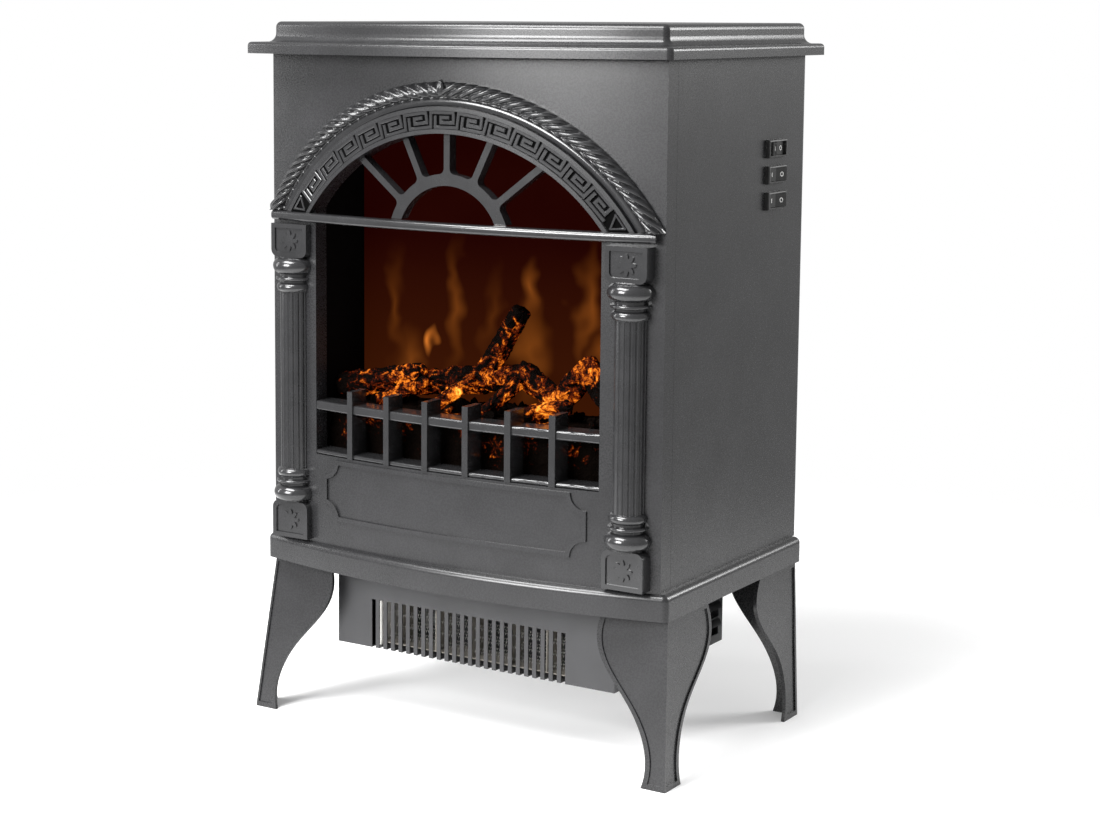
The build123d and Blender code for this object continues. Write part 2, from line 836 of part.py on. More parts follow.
# Corner blocks: rounded at the corners next to the column, with a sunk panel and a rosette
def corner_block(side, base, height, rounded):
    """One block; rounded picks its lower corners with 0 and its upper ones with -1."""
    centre = (side * column_x, base + height / 2)
    block_view = Plane.XZ.offset(-block_face)
    with BuildPart() as block:
        with BuildSketch(front_view) as outline:
            with Locations(centre):
                Rectangle(block_width, height)
            fillet(outline.vertices().group_by(Axis.Y)[rounded], block_corner)
        extrude(amount=front_view.origin.Y - block_face)
        add(front_shell(seat_gap, 4 * block_proud), mode=Mode.INTERSECT)
        with BuildSketch(block_view) as recess:
            with Locations(centre):
                Rectangle(block_width - 2 * block_border, height - 2 * block_border)
            fillet(recess.vertices().group_by(Axis.Y)[rounded], block_corner - block_border / 2)
        extrude(amount=-block_recess, mode=Mode.SUBTRACT)
        with BuildSketch(block_view.offset(-block_recess)):
            with Locations(centre):
                Circle(rosette_button)
                with PolarLocations(petal_radius, petal_count):
                    Ellipse(petal_length / 2, petal_width / 2)
        extrude(amount=petal_proud)
    return block


block_rows = {
    "upper_left_block": (-1, upper_block_base, block_height, 0),
    "upper_right_block": (1, upper_block_base, block_height, 0),
    "lower_left_block": (-1, lower_block_base, lower_block_height, -1),
    "lower_right_block": (1, lower_block_base, lower_block_height, -1),
}
for block_name, row in block_rows.items():
    piece = corner_block(*row)
    piece.part.label = block_name
    export_step(piece.part, f"parts/{block_name}.step")

# Log fender: a ledge, a rail and upright fins across the foot of the window
fender_width = window_width - 2 * seat_gap
with BuildSketch(front_view) as rail_face:
    with Locations((0, window_sill + seat_gap)):
        Rectangle(fender_width, fender_ledge, align=(Align.CENTER, Align.MIN))
    with Locations((0, fender_rail_base)):
        Rectangle(fender_width, fender_rail, align=(Align.CENTER, Align.MIN))
with BuildSketch(front_view) as fin_face:
    with Locations((0, window_sill + seat_gap)):
        with GridLocations(fender_post_pitch, 0, fender_post_count, 1):
            Rectangle(
                fender_post_width,
                fender_post_top - window_sill - seat_gap,
                align=(Align.CENTER, Align.MIN),
            )
with BuildPart() as log_fender:
    add(on_front(rail_face.sketch, -fender_depth, -seat_gap))
    fillet(
        log_fender.edges().filter_by(
            lambda edge: edge.length > window_width / 2
            and abs(hypot(edge.center().X, edge.center().Y - body_front - body_radius)
                    - body_radius) < fender_depth / 2
        ),
        fender_edge_radius,
    )
    add(on_front(fin_face.sketch, -fender_depth, fender_post_proud))
log_fender.part.label = "log_fender"
export_step(log_fender.part, "parts/log_fender.step")

# Fire deck: an upturned tray on the skirt that carries the fire
deck_half = fire_half + sheet
deck_back = front_corner + wall_reach
with BuildPart() as fire_deck:
    with BuildSketch(Plane.YZ.offset(-deck_half)):
        with BuildLine():
            Polyline(
                (fire_front, deck),
                (fire_front, fire_floor),
                (deck_back, fire_floor),
                (deck_back, deck),
                (deck_back - sheet, deck),
                (deck_back - sheet, fire_floor - sheet),
                (fire_front + sheet, fire_floor - sheet),
                (fire_front + sheet, deck),
                close=True,
            )
        make_face()
    extrude(amount=2 * deck_half)
fire_deck.part.label = "fire_deck"
export_step(fire_deck.part, "parts/fire_deck.step")


# Firebox walls: black sheets on the deck, with holes for the spindle's bushes
def firebox_wall(side):
    """One wall beside the fire, on the left for side -1 and on the right for side 1."""
    with BuildPart() as wall:
        with BuildSketch(Plane.YZ.offset(side * (fire_half + sheet / 2))):
            with Locations((fire_front, fire_floor)):
                Rectangle(wall_reach, fire_ceiling - fire_floor, align=Align.MIN)
            with Locations((spindle_y, spindle_z)):
                Circle(bush_radius + running_gap, mode=Mode.SUBTRACT)
        extrude(amount=sheet / 2, both=True)
    return wall


for wall_name, side in {"firebox_left_wall": -1, "firebox_right_wall": 1}.items():
    piece = firebox_wall(side)
    piece.part.label = wall_name
    export_step(piece.part, f"parts/{wall_name}.step")

with BuildPart() as firebox_ceiling:
    with BuildSketch(Plane.XY.offset(fire_ceiling)):
        with Locations((0, fire_front)):
            Rectangle(2 * deck_half, wall_reach, align=(Align.CENTER, Align.MIN))
    extrude(amount=sheet)
firebox_ceiling.part.label = "firebox_ceiling"
export_step(firebox_ceiling.part, "parts/firebox_ceiling.step")

# Flame screen and the mask behind it, with a row of flame-shaped slots of uneven height
screen_half = fire_half - seat_gap
with BuildPart() as flame_screen:
    with BuildSketch(Plane.XZ.offset(-screen_front)):
        with Locations((0, fire_floor)):
            Rectangle(2 * screen_half, fire_ceiling - fire_floor, align=(Align.CENTER, Align.MIN))
    extrude(amount=-screen_wall)
flame_screen.part.label = "flame_screen"
export_step(flame_screen.part, "parts/flame_screen.step")

with BuildPart() as flame_mask:
    with BuildSketch(Plane.XZ.offset(-mask_front)):
        with Locations((0, fire_floor)):
            Rectangle(2 * screen_half, mask_height, align=(Align.CENTER, Align.MIN))
        for slot in range(flame_slot_count):
            slot_x = (slot - (flame_slot_count - 1) / 2) * flame_slot_pitch
            slot_rise = flame_slot_height * (1 + flame_slot_swing * sin(flame_slot_sway * slot))
            with Locations((slot_x, fire_floor + mask_height / 2)):
                Ellipse(flame_slot_width / 2, slot_rise / 2, mode=Mode.SUBTRACT)
    extrude(amount=-sheet)
flame_mask.part.label = "flame_mask"
export_step(flame_mask.part, "parts/flame_mask.step")

# Ember bed: a hollow crowned tray behind the fender
bed_front = -fender_depth - bed_front_gap
bed_back = screen_front - bed_back_gap
bed_top = fire_floor + bed_height
bed_half = fire_half - seat_gap
with BuildPart() as ember_bed:
    with BuildSketch(Plane.XY.offset(fire_floor)):
        Rectangle(2 * bed_half, 2 * body_depth)
        with Locations((0, body_front + body_radius)):
            Circle(body_radius + bed_front, mode=Mode.INTERSECT)
        with Locations((0, bed_back)):
            Rectangle(4 * bed_half, 4 * bed_half, align=(Align.CENTER, Align.MIN), mode=Mode.SUBTRACT)
    extrude(amount=bed_height)
    fillet(ember_bed.faces().sort_by(Axis.Z)[-1].edges().sort_by(Axis.Y)[0], bed_crown_radius)
    bed_middle = (front_line(0) - bed_front + bed_back) / 2
    with Locations((0, bed_middle + bed_wall, fire_floor)):
        Box(
            2 * (bed_half - 2 * bed_wall),
            board_width + 2 * bed_wall,
            bed_height - bed_wall,
            align=(Align.CENTER, Align.CENTER, Align.MIN),
            mode=Mode.SUBTRACT,
        )
ember_bed.part.label = "ember_bed"
export_step(ember_bed.part, "parts/ember_bed.step")

# Log set: tapered logs that lie on the bed and on each other, cast as one piece
with BuildPart() as log_set:
    for start, end, start_radius, end_radius in log_runs.values():
        low = Vector(0, bed_middle, bed_top - log_sink) + Vector(*start)
        run = Vector(*end) - Vector(*start)
        with Locations(Plane(origin=low, z_dir=run)):
            Cone(
                start_radius, end_radius, run.length,
                align=(Align.CENTER, Align.CENTER, Align.MIN),
            )
            Sphere(start_radius)
            with Locations((0, 0, run.length)):
                Sphere(end_radius)
    with Locations((0, 0, bed_top)):
        Box(
            2 * bed_half, 2 * body_depth, lid_base, align=(Align.CENTER, Align.CENTER, Align.MIN),
            mode=Mode.INTERSECT,
        )
log_set.part.label = "log_set"
export_step(log_set.part, "parts/log_set.step")

# Flame spindle: a rod through both walls with foil flags set round it like a spiral
wall_outer = fire_half + sheet
motor_face = wall_outer + spindle_motor_standoff
spindle_left = -wall_outer - bush_flange - spindle_end
across_x = Plane(origin=(0, spindle_y, spindle_z), x_dir=(0, 1, 0), z_dir=(1, 0, 0))
with BuildPart() as flame_spindle:
    with Locations(across_x.offset(spindle_left)):
        Cylinder(
            spindle_radius, motor_face + spindle_motor_bore - spindle_end - spindle_left,
            align=(Align.CENTER, Align.CENTER, Align.MIN),
        )
    for flag in range(flag_count):
        flag_x = (flag - (flag_count - 1) / 2) * flag_pitch
        with Locations(across_x.offset(flag_x) * Location((0, 0, 0), (0, 0, flag * flag_turn))):
            Box(2 * flag_radius, flag_wall, flag_width)
flame_spindle.part.label = "flame_spindle"
export_step(flame_spindle.part, "parts/flame_spindle.step")

with BuildPart() as spindle_bushes:
    for side in (-1, 1):
        with Locations(Plane(origin=(side * wall_outer, spindle_y, spindle_z), z_dir=(side, 0, 0))):
            Cylinder(bush_flange_radius, bush_flange, align=(Align.CENTER, Align.CENTER, Align.MIN))
            Cylinder(bush_radius, bush_length, align=(Align.CENTER, Align.CENTER, Align.MAX))
    with Locations(across_x):
        Cylinder(spindle_radius + running_gap, 4 * wall_outer, mode=Mode.SUBTRACT)
spindle_bushes.part.label = "spindle_bushes"
export_step(spindle_bushes.part, "parts/spindle_bushes.step")

with BuildPart() as spindle_motor:
    with Locations(across_x.offset(motor_face)):
        Cylinder(
            spindle_motor_radius, spindle_motor_depth, align=(Align.CENTER, Align.CENTER, Align.MIN)
        )
        Cylinder(spindle_radius + running_gap, 2 * spindle_motor_bore, mode=Mode.SUBTRACT)
        with GridLocations(2 * (spindle_motor_radius - 2 * standoff_radius), 0, 2, 1):
            Cylinder(
                standoff_radius, spindle_motor_standoff, align=(Align.CENTER, Align.CENTER, Align.MAX)
            )
spindle_motor.part.label = "spindle_motor"
export_step(spindle_motor.part, "parts/spindle_motor.step")


# Light boards: a strip with a row of lights on it, one under the embers and one behind the spindle
def light_board(length, y):
    """A board that lies on the fire's floor at this y."""
    with BuildPart() as board:
        with Locations((0, y, fire_floor)):
            Box(length, board_width, board_wall, align=(Align.CENTER, Align.CENTER, Align.MIN))
            with GridLocations(length / led_count, 0, led_count, 1):
                Cylinder(
                    led_radius, board_wall + led_height,
                    align=(Align.CENTER, Align.CENTER, Align.MIN),
                )
    return board


board_rows = {
    "ember_light_board": (ember_board_length, bed_middle + bed_wall),
    "flame_light_board": (flame_board_length, spindle_y + flame_board_gap),
}
for board_name, (length, y) in board_rows.items():
    piece = light_board(length, y)
    piece.part.label = board_name
    export_step(piece.part, f"parts/{board_name}.step")

# Supply under the fire: a driver for the lights and a terminal block, both on the skirt
with BuildPart() as led_driver:
    with Locations((driver_x, 0, deck)):
        Box(
            driver_length, driver_width, driver_height,
            align=(Align.CENTER, Align.CENTER, Align.MIN),
        )
    fillet(led_driver.edges().filter_by(Axis.Z), 2 * sheet)
led_driver.part.label = "led_driver"
export_step(led_driver.part, "parts/led_driver.step")

with BuildPart() as terminal_block:
    with Locations((terminal_x, wire_hole_y, deck)):
        Box(
            terminal_length, terminal_width, terminal_height,
            align=(Align.CENTER, Align.CENTER, Align.MIN),
        )
        with Locations((0, 0, terminal_height)):
            with GridLocations(terminal_length / terminal_ways, 0, terminal_ways, 1):
                Cylinder(
                    terminal_hole_radius, terminal_well,
                    align=(Align.CENTER, Align.CENTER, Align.MAX), mode=Mode.SUBTRACT,
                )
terminal_block.part.label = "terminal_block"
export_step(terminal_block.part, "parts/terminal_block.step")

# Heater box: a tray under the skirt with a slotted front, hooded louvres and rear inlet slots
box_floor = box_base + box_wall
box_half = box_width / 2
louvre_y = box_back - louvre_back_inset - louvre_length
with BuildPart() as heater_box:
    with Locations((0, (box_front + box_back) / 2, box_top)):
        Box(box_width, box_depth, box_top - box_base, align=(Align.CENTER, Align.CENTER, Align.MAX))
        Box(
            box_width - 2 * box_wall, box_depth - 2 * box_wall, box_top - box_floor,
            align=(Align.CENTER, Align.CENTER, Align.MAX), mode=Mode.SUBTRACT,
        )
    for y, place in ((box_front, Align.MAX), (box_back, Align.MIN)):
        with Locations((0, y, box_top)):
            Box(box_width, box_flange, box_wall, align=(Align.CENTER, place, Align.MAX))
    with Locations((grille_shift, box_front, box_base)):
        with GridLocations(grille_slot_pitch, 0, grille_slot_count, 1):
            Box(grille_slot_width, 2 * grille_slot_wrap, 2 * grille_slot_top, mode=Mode.SUBTRACT)
    with Locations((grille_shift, box_back, box_base + inlet_rise)):
        with GridLocations(inlet_slot_pitch, 0, inlet_slot_count, 1):
            Box(inlet_slot_width, 4 * box_wall, inlet_slot_height, mode=Mode.SUBTRACT)
    for row in range(louvre_count):
        opening_base = box_base + louvre_rise + row * louvre_pitch
        opening_top = opening_base + louvre_height
        with Locations((box_half, louvre_y, opening_base)):
            Box(
                4 * box_wall, louvre_length, louvre_height,
                align=(Align.CENTER, Align.MIN, Align.MIN), mode=Mode.SUBTRACT,
            )
        with BuildSketch(Plane.XZ.offset(-louvre_y)):
            with BuildLine():
                hood = ThreePointArc(
                    (box_half - box_wall, opening_top + louvre_hood),
                    (box_half + 2 * louvre_lip / 3, opening_top + louvre_hood / 2),
                    (box_half + louvre_lip, opening_top),
                )
                Polyline(
                    hood @ 1,
                    (box_half + louvre_lip - box_wall, opening_top),
                    (box_half - box_wall, opening_top + louvre_hood / 2),
                    hood @ 0,
                )
            make_face()
        extrude(amount=-louvre_length)
    with BuildSketch(Plane.XY.offset(box_top)):
        with Locations(*box_screw_places):
            Circle(screw_radius + running_gap)
    extrude(amount=-2 * box_wall, mode=Mode.SUBTRACT)
heater_box.part.label = "heater_box"
export_step(heater_box.part, "parts/heater_box.step")

with BuildPart() as heater_box_screws:
    with Locations(*[(x, y, box_top - box_wall) for x, y in box_screw_places]):
        Cylinder(
            screw_radius, box_wall + skirt_wall, align=(Align.CENTER, Align.CENTER, Align.MIN)
        )
        Cylinder(
            screw_head_radius, screw_head, align=(Align.CENTER, Align.CENTER, Align.MAX)
        )
heater_box_screws.part.label = "heater_box_screws"
export_step(heater_box_screws.part, "parts/heater_box_screws.step")

# Heating element: two boards joined by ribs, wires strung through the ribs, and a clip at each end
element_front = box_front + box_wall + element_gap
element_y = element_front + element_depth / 2
element_base = box_floor + clip_margin
element_centre = (grille_shift, element_y, element_base + element_height / 2)
wire_steps = (
    element_depth / heating_wire_columns,
    element_height / heating_wire_rows,
)
along_x = Plane(origin=element_centre, x_dir=(0, 1, 0), z_dir=(1, 0, 0))
with BuildPart() as heating_element:
    with Locations(element_centre):
        with GridLocations(element_width / mica_rib_count, 0, mica_rib_count, 1):
            Box(mica_wall, element_depth, element_height)
        for level in (element_height - mica_wall, mica_wall - element_height):
            with Locations((0, 0, level / 2)):
                Box(element_width, element_depth, mica_wall)
    with Locations(along_x):
        with GridLocations(*wire_steps, heating_wire_columns, heating_wire_rows):
            Cylinder(heating_wire_radius + running_gap, element_width, mode=Mode.SUBTRACT)
heating_element.part.label = "heating_element"
export_step(heating_element.part, "parts/heating_element.step")

with BuildPart() as heating_wires:
    with Locations(along_x):
        with GridLocations(*wire_steps, heating_wire_columns, heating_wire_rows):
            Cylinder(heating_wire_radius, element_width)
heating_wires.part.label = "heating_wires"
export_step(heating_wires.part, "parts/heating_wires.step")

with BuildPart() as element_end_clips:
    for side in (-1, 1):
        with Locations((grille_shift + side * (element_width + clip_wall) / 2, element_y, box_floor)):
            Box(
                clip_wall, element_depth + 2 * clip_margin, element_height + 2 * clip_margin,
                align=(Align.CENTER, Align.CENTER, Align.MIN),
            )
    fillet(element_end_clips.edges().filter_by(Axis.Z), clip_margin)
element_end_clips.part.label = "element_end_clips"
export_step(element_end_clips.part, "parts/element_end_clips.step")

# Blower: a wheel of slim blades on a shaft, in a scroll with two end plates, driven from the right
fan_y = box_front + fan_setback
fan_z = box_base + fan_axis_rise
fan_plane = Plane(origin=(fan_shift, fan_y, fan_z), x_dir=(0, 1, 0), z_dir=(1, 0, 0))
fan_half = fan_length / 2
plate_inner = fan_half + fan_side_gap
plate_outer = plate_inner + scroll_wall
shaft_left = -plate_outer - fan_shaft_end
with BuildPart() as blower_wheel:
    with Locations(fan_plane.offset(shaft_left)):
        Cylinder(
            fan_shaft_radius, plate_outer + fan_motor_bore - fan_shaft_end - shaft_left,
            align=(Align.CENTER, Align.CENTER, Align.MIN),
        )
    for place in (-fan_half + fan_disc / 2, 0, fan_half - fan_disc / 2):
        with Locations(fan_plane.offset(place)):
            Cylinder(fan_radius, fan_disc)
    with Locations(fan_plane):
        with PolarLocations(fan_radius - fan_blade_depth / 2, fan_blade_count):
            Box(fan_blade_depth, fan_blade_wall, fan_length)
blower_wheel.part.label = "blower_wheel"
export_step(blower_wheel.part, "parts/blower_wheel.step")

scroll_outer = fan_radius + fan_gap + scroll_wall
with BuildPart() as blower_scroll:
    with Locations(fan_plane):
        Cylinder(scroll_outer, 2 * plate_outer)
        Cylinder(scroll_outer - scroll_wall, 2 * plate_outer, mode=Mode.SUBTRACT)
        Box(4 * scroll_outer, scroll_mouth, 2 * plate_outer, mode=Mode.SUBTRACT)
    for side in (-1, 1):
        with Locations((fan_shift + side * (plate_outer - scroll_wall / 2), fan_y, box_floor)):
            Box(
                scroll_wall, 2 * scroll_outer, fan_z + scroll_outer - box_floor,
                align=(Align.CENTER, Align.CENTER, Align.MIN),
            )
    with Locations(fan_plane):
        Cylinder(fan_shaft_radius + running_gap, 4 * plate_outer, mode=Mode.SUBTRACT)
blower_scroll.part.label = "blower_scroll"
export_step(blower_scroll.part, "parts/blower_scroll.step")

with BuildPart() as blower_motor:
    with Locations(fan_plane.offset(plate_outer)):
        Cylinder(
            fan_motor_radius, fan_motor_length, align=(Align.CENTER, Align.CENTER, Align.MIN)
        )
        Cylinder(fan_shaft_radius + running_gap, 2 * fan_motor_bore, mode=Mode.SUBTRACT)
blower_motor.part.label = "blower_motor"
export_step(blower_motor.part, "parts/blower_motor.step")

with BuildPart() as thermal_cutout:
    with Locations((cutout_x, element_y, box_floor)):
        Box(
            cutout_length, cutout_width, cutout_height,
            align=(Align.CENTER, Align.CENTER, Align.MIN),
        )
thermal_cutout.part.label = "thermal_cutout"
export_step(thermal_cutout.part, "parts/thermal_cutout.step")


# Switches: a housing with a well in the side panel, and a rocker on two pins in it
def switch_housing(level):
    """A housing with its middle at this level, its flange on the panel and its blades inside."""
    with BuildPart() as housing:
        with Locations((half_body, switch_y, level)):
            Box(bezel_proud, bezel_length, bezel_width, align=(Align.MIN, Align.CENTER, Align.CENTER))
            Box(
                switch_body_depth, shell_length, shell_width,
                align=(Align.MAX, Align.CENTER, Align.CENTER),
            )
        fillet(housing.faces().sort_by(Axis.X)[-1].edges(), sheet)
        with Locations((half_body + bezel_proud, switch_y, level)):
            Box(
                switch_well, well_length, well_width,
                align=(Align.MAX, Align.CENTER, Align.CENTER), mode=Mode.SUBTRACT,
            )
        with Locations((pivot_x, switch_y, level)):
            Cylinder(
                rocker_pin_radius + running_gap,
                rocker_width + 2 * (rocker_pin_length + seat_gap),
                mode=Mode.SUBTRACT,
            )
        with Locations((half_body - switch_body_depth, switch_y, level)):
            with GridLocations(0, switch_blade_pitch, 1, switch_blade_count):
                Box(
                    switch_blade_length, switch_blade_wall, switch_blade_width,
                    align=(Align.MAX, Align.CENTER, Align.CENTER),
                )
    return housing


def switch_rocker(level, tilt):
    """A rocker turned by this angle about its pins, positive with its rear end pressed in."""
    with BuildPart() as rocker:
        with BuildSketch(Plane((pivot_x, switch_y, level)).offset(-rocker_width / 2)):
            with BuildLine():
                front_half = Polyline(
                    (rocker_centre_rise, 0),
                    (rocker_end_rise, -rocker_length / 2),
                    (-rocker_heel, -rocker_length / 2),
                    (-rocker_depth, -rocker_keel / 2),
                    (-rocker_depth, 0),
                )
                mirror(front_half, about=Plane.XZ)
            make_face()
        extrude(amount=rocker_width)
        fillet(rocker.edges().filter_by(Axis.Z).group_by(Axis.X)[-1], rocker_heel)
        with Locations((pivot_x, switch_y, level)):
            Cylinder(rocker_pin_radius, rocker_width + 2 * rocker_pin_length)
    return rocker.part.rotate(Axis((pivot_x, switch_y, level), (0, 0, 1)), tilt)


rest_tilts = (rocker_tilt, -rocker_tilt, -rocker_tilt)
for switch_name, level, tilt in zip(switch_names, switch_levels, rest_tilts):
    housing = switch_housing(level)
    housing.part.label = f"{switch_name}_switch_housing"
    export_step(housing.part, f"parts/{switch_name}_switch_housing.step")
    rocker = switch_rocker(level, tilt)
    rocker.label = f"{switch_name}_switch_rocker"
    export_step(rocker, f"parts/{switch_name}_switch_rocker.step")
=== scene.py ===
import math

import bmesh
import bpy
from bpy.props import FloatProperty, FloatVectorProperty, IntProperty, PointerProperty
from mathutils import Matrix, Vector, noise


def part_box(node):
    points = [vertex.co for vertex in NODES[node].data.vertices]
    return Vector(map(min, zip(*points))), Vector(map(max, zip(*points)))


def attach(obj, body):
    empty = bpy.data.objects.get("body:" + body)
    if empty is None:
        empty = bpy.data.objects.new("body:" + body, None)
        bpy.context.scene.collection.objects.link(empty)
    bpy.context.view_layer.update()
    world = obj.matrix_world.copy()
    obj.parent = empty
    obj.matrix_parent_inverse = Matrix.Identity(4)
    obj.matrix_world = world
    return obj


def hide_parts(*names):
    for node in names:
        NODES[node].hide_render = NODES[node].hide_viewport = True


bl_info = {
    "name": "Electric stove",
    "version": (1, 0, 0),
    "blender": (4, 5, 0),
    "location": "View3D > Sidebar > Stove",
    "description": "Dresses the packed stove with its ornament, logs, embers and finishes",
    "category": "Object",
}

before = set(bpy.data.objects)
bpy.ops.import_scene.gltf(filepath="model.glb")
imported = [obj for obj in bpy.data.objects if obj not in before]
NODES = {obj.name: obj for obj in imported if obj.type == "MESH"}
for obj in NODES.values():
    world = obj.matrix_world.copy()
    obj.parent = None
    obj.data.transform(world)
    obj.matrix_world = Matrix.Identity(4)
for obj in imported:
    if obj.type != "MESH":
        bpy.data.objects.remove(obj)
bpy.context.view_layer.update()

MM = 0.001
BODY = "stove"

# The bowed front, as the cabinet has it
HALF_BODY = 177.5 * MM
BOW = 18.5 * MM
BODY_FRONT = -118.5 * MM
BOW_RADIUS = (HALF_BODY**2 + BOW**2) / (2 * BOW)
ARCH_CENTRE = 313.5 * MM
TRANSOM_TOP = 410.4 * MM
SEAT_GAP = 0.2 * MM

# Radii from the arch's middle, and heights over the front
RECESS_INNER, RECESS_OUTER = 167.4 * MM, 180.9 * MM
KEY_MIDDLE = 174.1 * MM
KEY_BASE, BAND_FACE = 3.4 * MM, 3.6 * MM
BORDER_INNER, ROPE_INNER, ROPE_OUTER = 184.8 * MM, 190.8 * MM, 202.8 * MM

# The logs' lines: start, end, start radius, end radius, in millimetres in the stove's frame
LOG_LINES = (
    ((-121, -77.5, 271.5), (-55, -75.5, 282.5), 12.5, 13.5),
    ((-60, -66, 276.5), (40, -62, 288.5), 13.5, 13),
    ((-2, -64, 282.5), (30, -60, 337), 13.5, 9.5),
    ((36, -62, 290), (76, -70, 272.5), 13, 11.5),
    ((72, -72, 272.5), (98, -68, 300.5), 11.5, 13),
    ((97, -70, 300.5), (116, -74, 280.5), 13, 12),
    ((-30, -84, 264), (-4, -74, 284), 6.5, 7.5),
    ((14, -86, 262), (36, -74, 284), 6.5, 8),
    ((-84, -84, 263), (-46, -80, 279), 6.5, 7),
    ((44, -85, 263), (84, -80, 272), 7, 7.5),
)
# Painted light: where the wood and the bed glow most, in place of the light of the boards under
# them
WOOD_SPOTS = (
    (67, -86, 271, 1.5), (56, -86, 280, 1.2), (-10, -88, 268, 1.5), (22, -78, 300, 1.0),
    (27, -70, 318, 0.7), (-62, -86, 276, 1.0), (-100, -88, 282, 0.7), (-36, -82, 290, 0.9),
    (86, -84, 288, 0.7), (98, -82, 308, 1.2), (4, -80, 286, 1.0), (38, -84, 292, 1.0),
)
BED_SPOTS = (
    (69, -86, 262, 1.2), (-10, -88, 262, 1.2), (-112, -92, 236, 0.8), (-88, -94, 250, 1.0),
    (-58, -97, 244, 0.8), (-30, -98, 232, 0.8), (8, -98, 248, 1.0), (34, -97, 236, 1.0),
    (62, -96, 246, 0.8), (98, -93, 240, 0.8), (118, -90, 252, 0.8),
)
# Painted light of the flames on the screen: middle, half width and half height, and how bright
FLAMES = (
    ((-65, -40, 306), 5, 15, 1.2), ((-101, -40, 330), 12, 58, 0.12), ((-43, -40, 334), 11, 64, 0.2),
    ((27, -40, 356), 11, 26, 0.3), ((27, -40, 308), 20, 60, 0.24), ((76, -40, 342), 12, 60, 0.26),
    ((96, -40, 312), 14, 46, 0.2), ((-84, -40, 288), 20, 34, 0.22), ((-8, -40, 330), 9, 50, 0.08),
)
# The lamps: name, place in metres, width, height and power in watts
LAMPS = (
    ("key_lamp", (-0.58, -2.1, 1.02), 1.0, 0.8, 78),
    ("left_lamp", (-2.1, -0.7, 0.8), 0.25, 1.3, 9),
    ("side_lamp", (1.7, 2.0, 1.2), 1.0, 1.0, 50),
    ("top_lamp", (-0.5, -1.1, 2.0), 1.5, 0.7, 70),
)


class StoveSizes(bpy.types.PropertyGroup):
    """Sizes that a user may change before the pieces are made."""

    key_height: FloatProperty(
        name="Key height", description="How far the key pattern stands off its band",
        default=1.5 * MM, min=0, unit="LENGTH",
    )
    key_line: FloatProperty(
        name="Key line", description="Width of one line of the key pattern",
        default=2.8 * MM, min=0, unit="LENGTH",
    )
    key_pitch: FloatProperty(
        name="Key pitch", description="Length along the band from one key to the next",
        default=24 * MM, min=0, unit="LENGTH",
    )
    strand_pitch: FloatProperty(
        name="Strand pitch", description="Length along the rope from one strand to the next",
        default=9.6 * MM, min=0, unit="LENGTH",
    )
    strand_depth: FloatProperty(
        name="Strand depth", description="Depth of the grooves between the rope's strands",
        default=4.8 * MM, min=0, unit="LENGTH",
    )
    bark_depth: FloatProperty(
        name="Bark depth", description="Depth of the logs' bark as a share of their radius",
        default=0.62, min=0, max=1, subtype="FACTOR",
    )
    lump_size: FloatProperty(
        name="Ember size", description="Radius of one lump on the ember bed",
        default=5.5 * MM, min=0, unit="LENGTH",
    )
    lump_density: FloatProperty(
        name="Ember density", description="Lumps for each square metre of the ember bed",
        default=9000, min=0,
    )
    coil_turns: IntProperty(
        name="Coil turns", description="Turns in each heating coil", default=78, min=1,
    )
    seed: IntProperty(name="Seed", description="Seed of the bark and the embers", default=7, min=0)


class StoveColours(bpy.types.PropertyGroup):
    """Colours and finishes that a user may change before the pieces are made."""

    enamel: FloatVectorProperty(
        name="Enamel", description="Colour of the stove's black enamel",
        subtype="COLOR", size=3, min=0, max=1, default=(0.018, 0.018, 0.019),
    )
    enamel_roughness: FloatProperty(
        name="Enamel roughness", description="Roughness of the enamel",
        subtype="FACTOR", min=0, max=1, default=0.27,
    )
    # Painted light: the three ember colours are emitted by the logs and the ember bed, in place of
    # the light of the boards under them.
    ember_dark: FloatVectorProperty(
        name="Ember dark", description="Colour of the coolest glow",
        subtype="COLOR", size=3, min=0, max=1, default=(0.12, 0.012, 0.001),
    )
    ember_warm: FloatVectorProperty(
        name="Ember warm", description="Colour of the middle glow",
        subtype="COLOR", size=3, min=0, max=1, default=(0.78, 0.20, 0.012),
    )
    ember_hot: FloatVectorProperty(
        name="Ember hot", description="Colour of the hottest glow",
        subtype="COLOR", size=3, min=0, max=1, default=(1.0, 0.62, 0.09),
    )
    # Painted light: this colour is emitted, as the screen's faint glow where no flame shows.
    screen: FloatVectorProperty(
        name="Screen", description="Colour of the flame screen where no flame shows",
        subtype="COLOR", size=3, min=0, max=1, default=(0.012, 0.0006, 0.0004),
    )


def sizes():
    """The sizes set in the scene."""
    return bpy.context.scene.stove_sizes


def colours():
    """The colours set in the scene."""
    return bpy.context.scene.stove_colours


# Shape helpers


def front_line(x):
    """Y of the bowed front at this x."""
    return BODY_FRONT + BOW_RADIUS - math.sqrt(BOW_RADIUS**2 - x**2)


def on_front(x, z, height):
    """A point at this height over the bowed front, where x and z are read on the front."""
    y = front_line(x)
    across = Vector((x, y - BODY_FRONT - BOW_RADIUS, 0)) / BOW_RADIUS
    return Vector((x, y, z)) + across * height


def wrap_on_front(mesh):
    """Moves a mesh drawn flat, with its height along -Y, on to the bowed front."""
    for vertex in mesh.vertices:
        x, y, z = vertex.co
        vertex.co = on_front(x, z, -y)


def make_mesh(name, points, faces, smooth=True):
    """A mesh of these points and faces."""
    mesh = bpy.data.meshes.new(name)
    mesh.from_pydata([tuple(p) for p in points], [], faces)
    mesh.validate()
    if smooth:
        mesh.shade_smooth()
    else:
        mesh.shade_flat()
    return mesh


def grid_faces(rows, columns, closed=True, turned=False):
    """Quads between the rows of a grid of points, where each row may close on itself."""
    faces = []
    for row in range(rows - 1):
        for column in range(columns if closed else columns - 1):
            after = (column + 1) % columns
            face = [row * columns + column, row * columns + after,
                    (row + 1) * columns + after, (row + 1) * columns + column]
            faces.append([face[0], *reversed(face[1:])] if turned else face)
    return faces


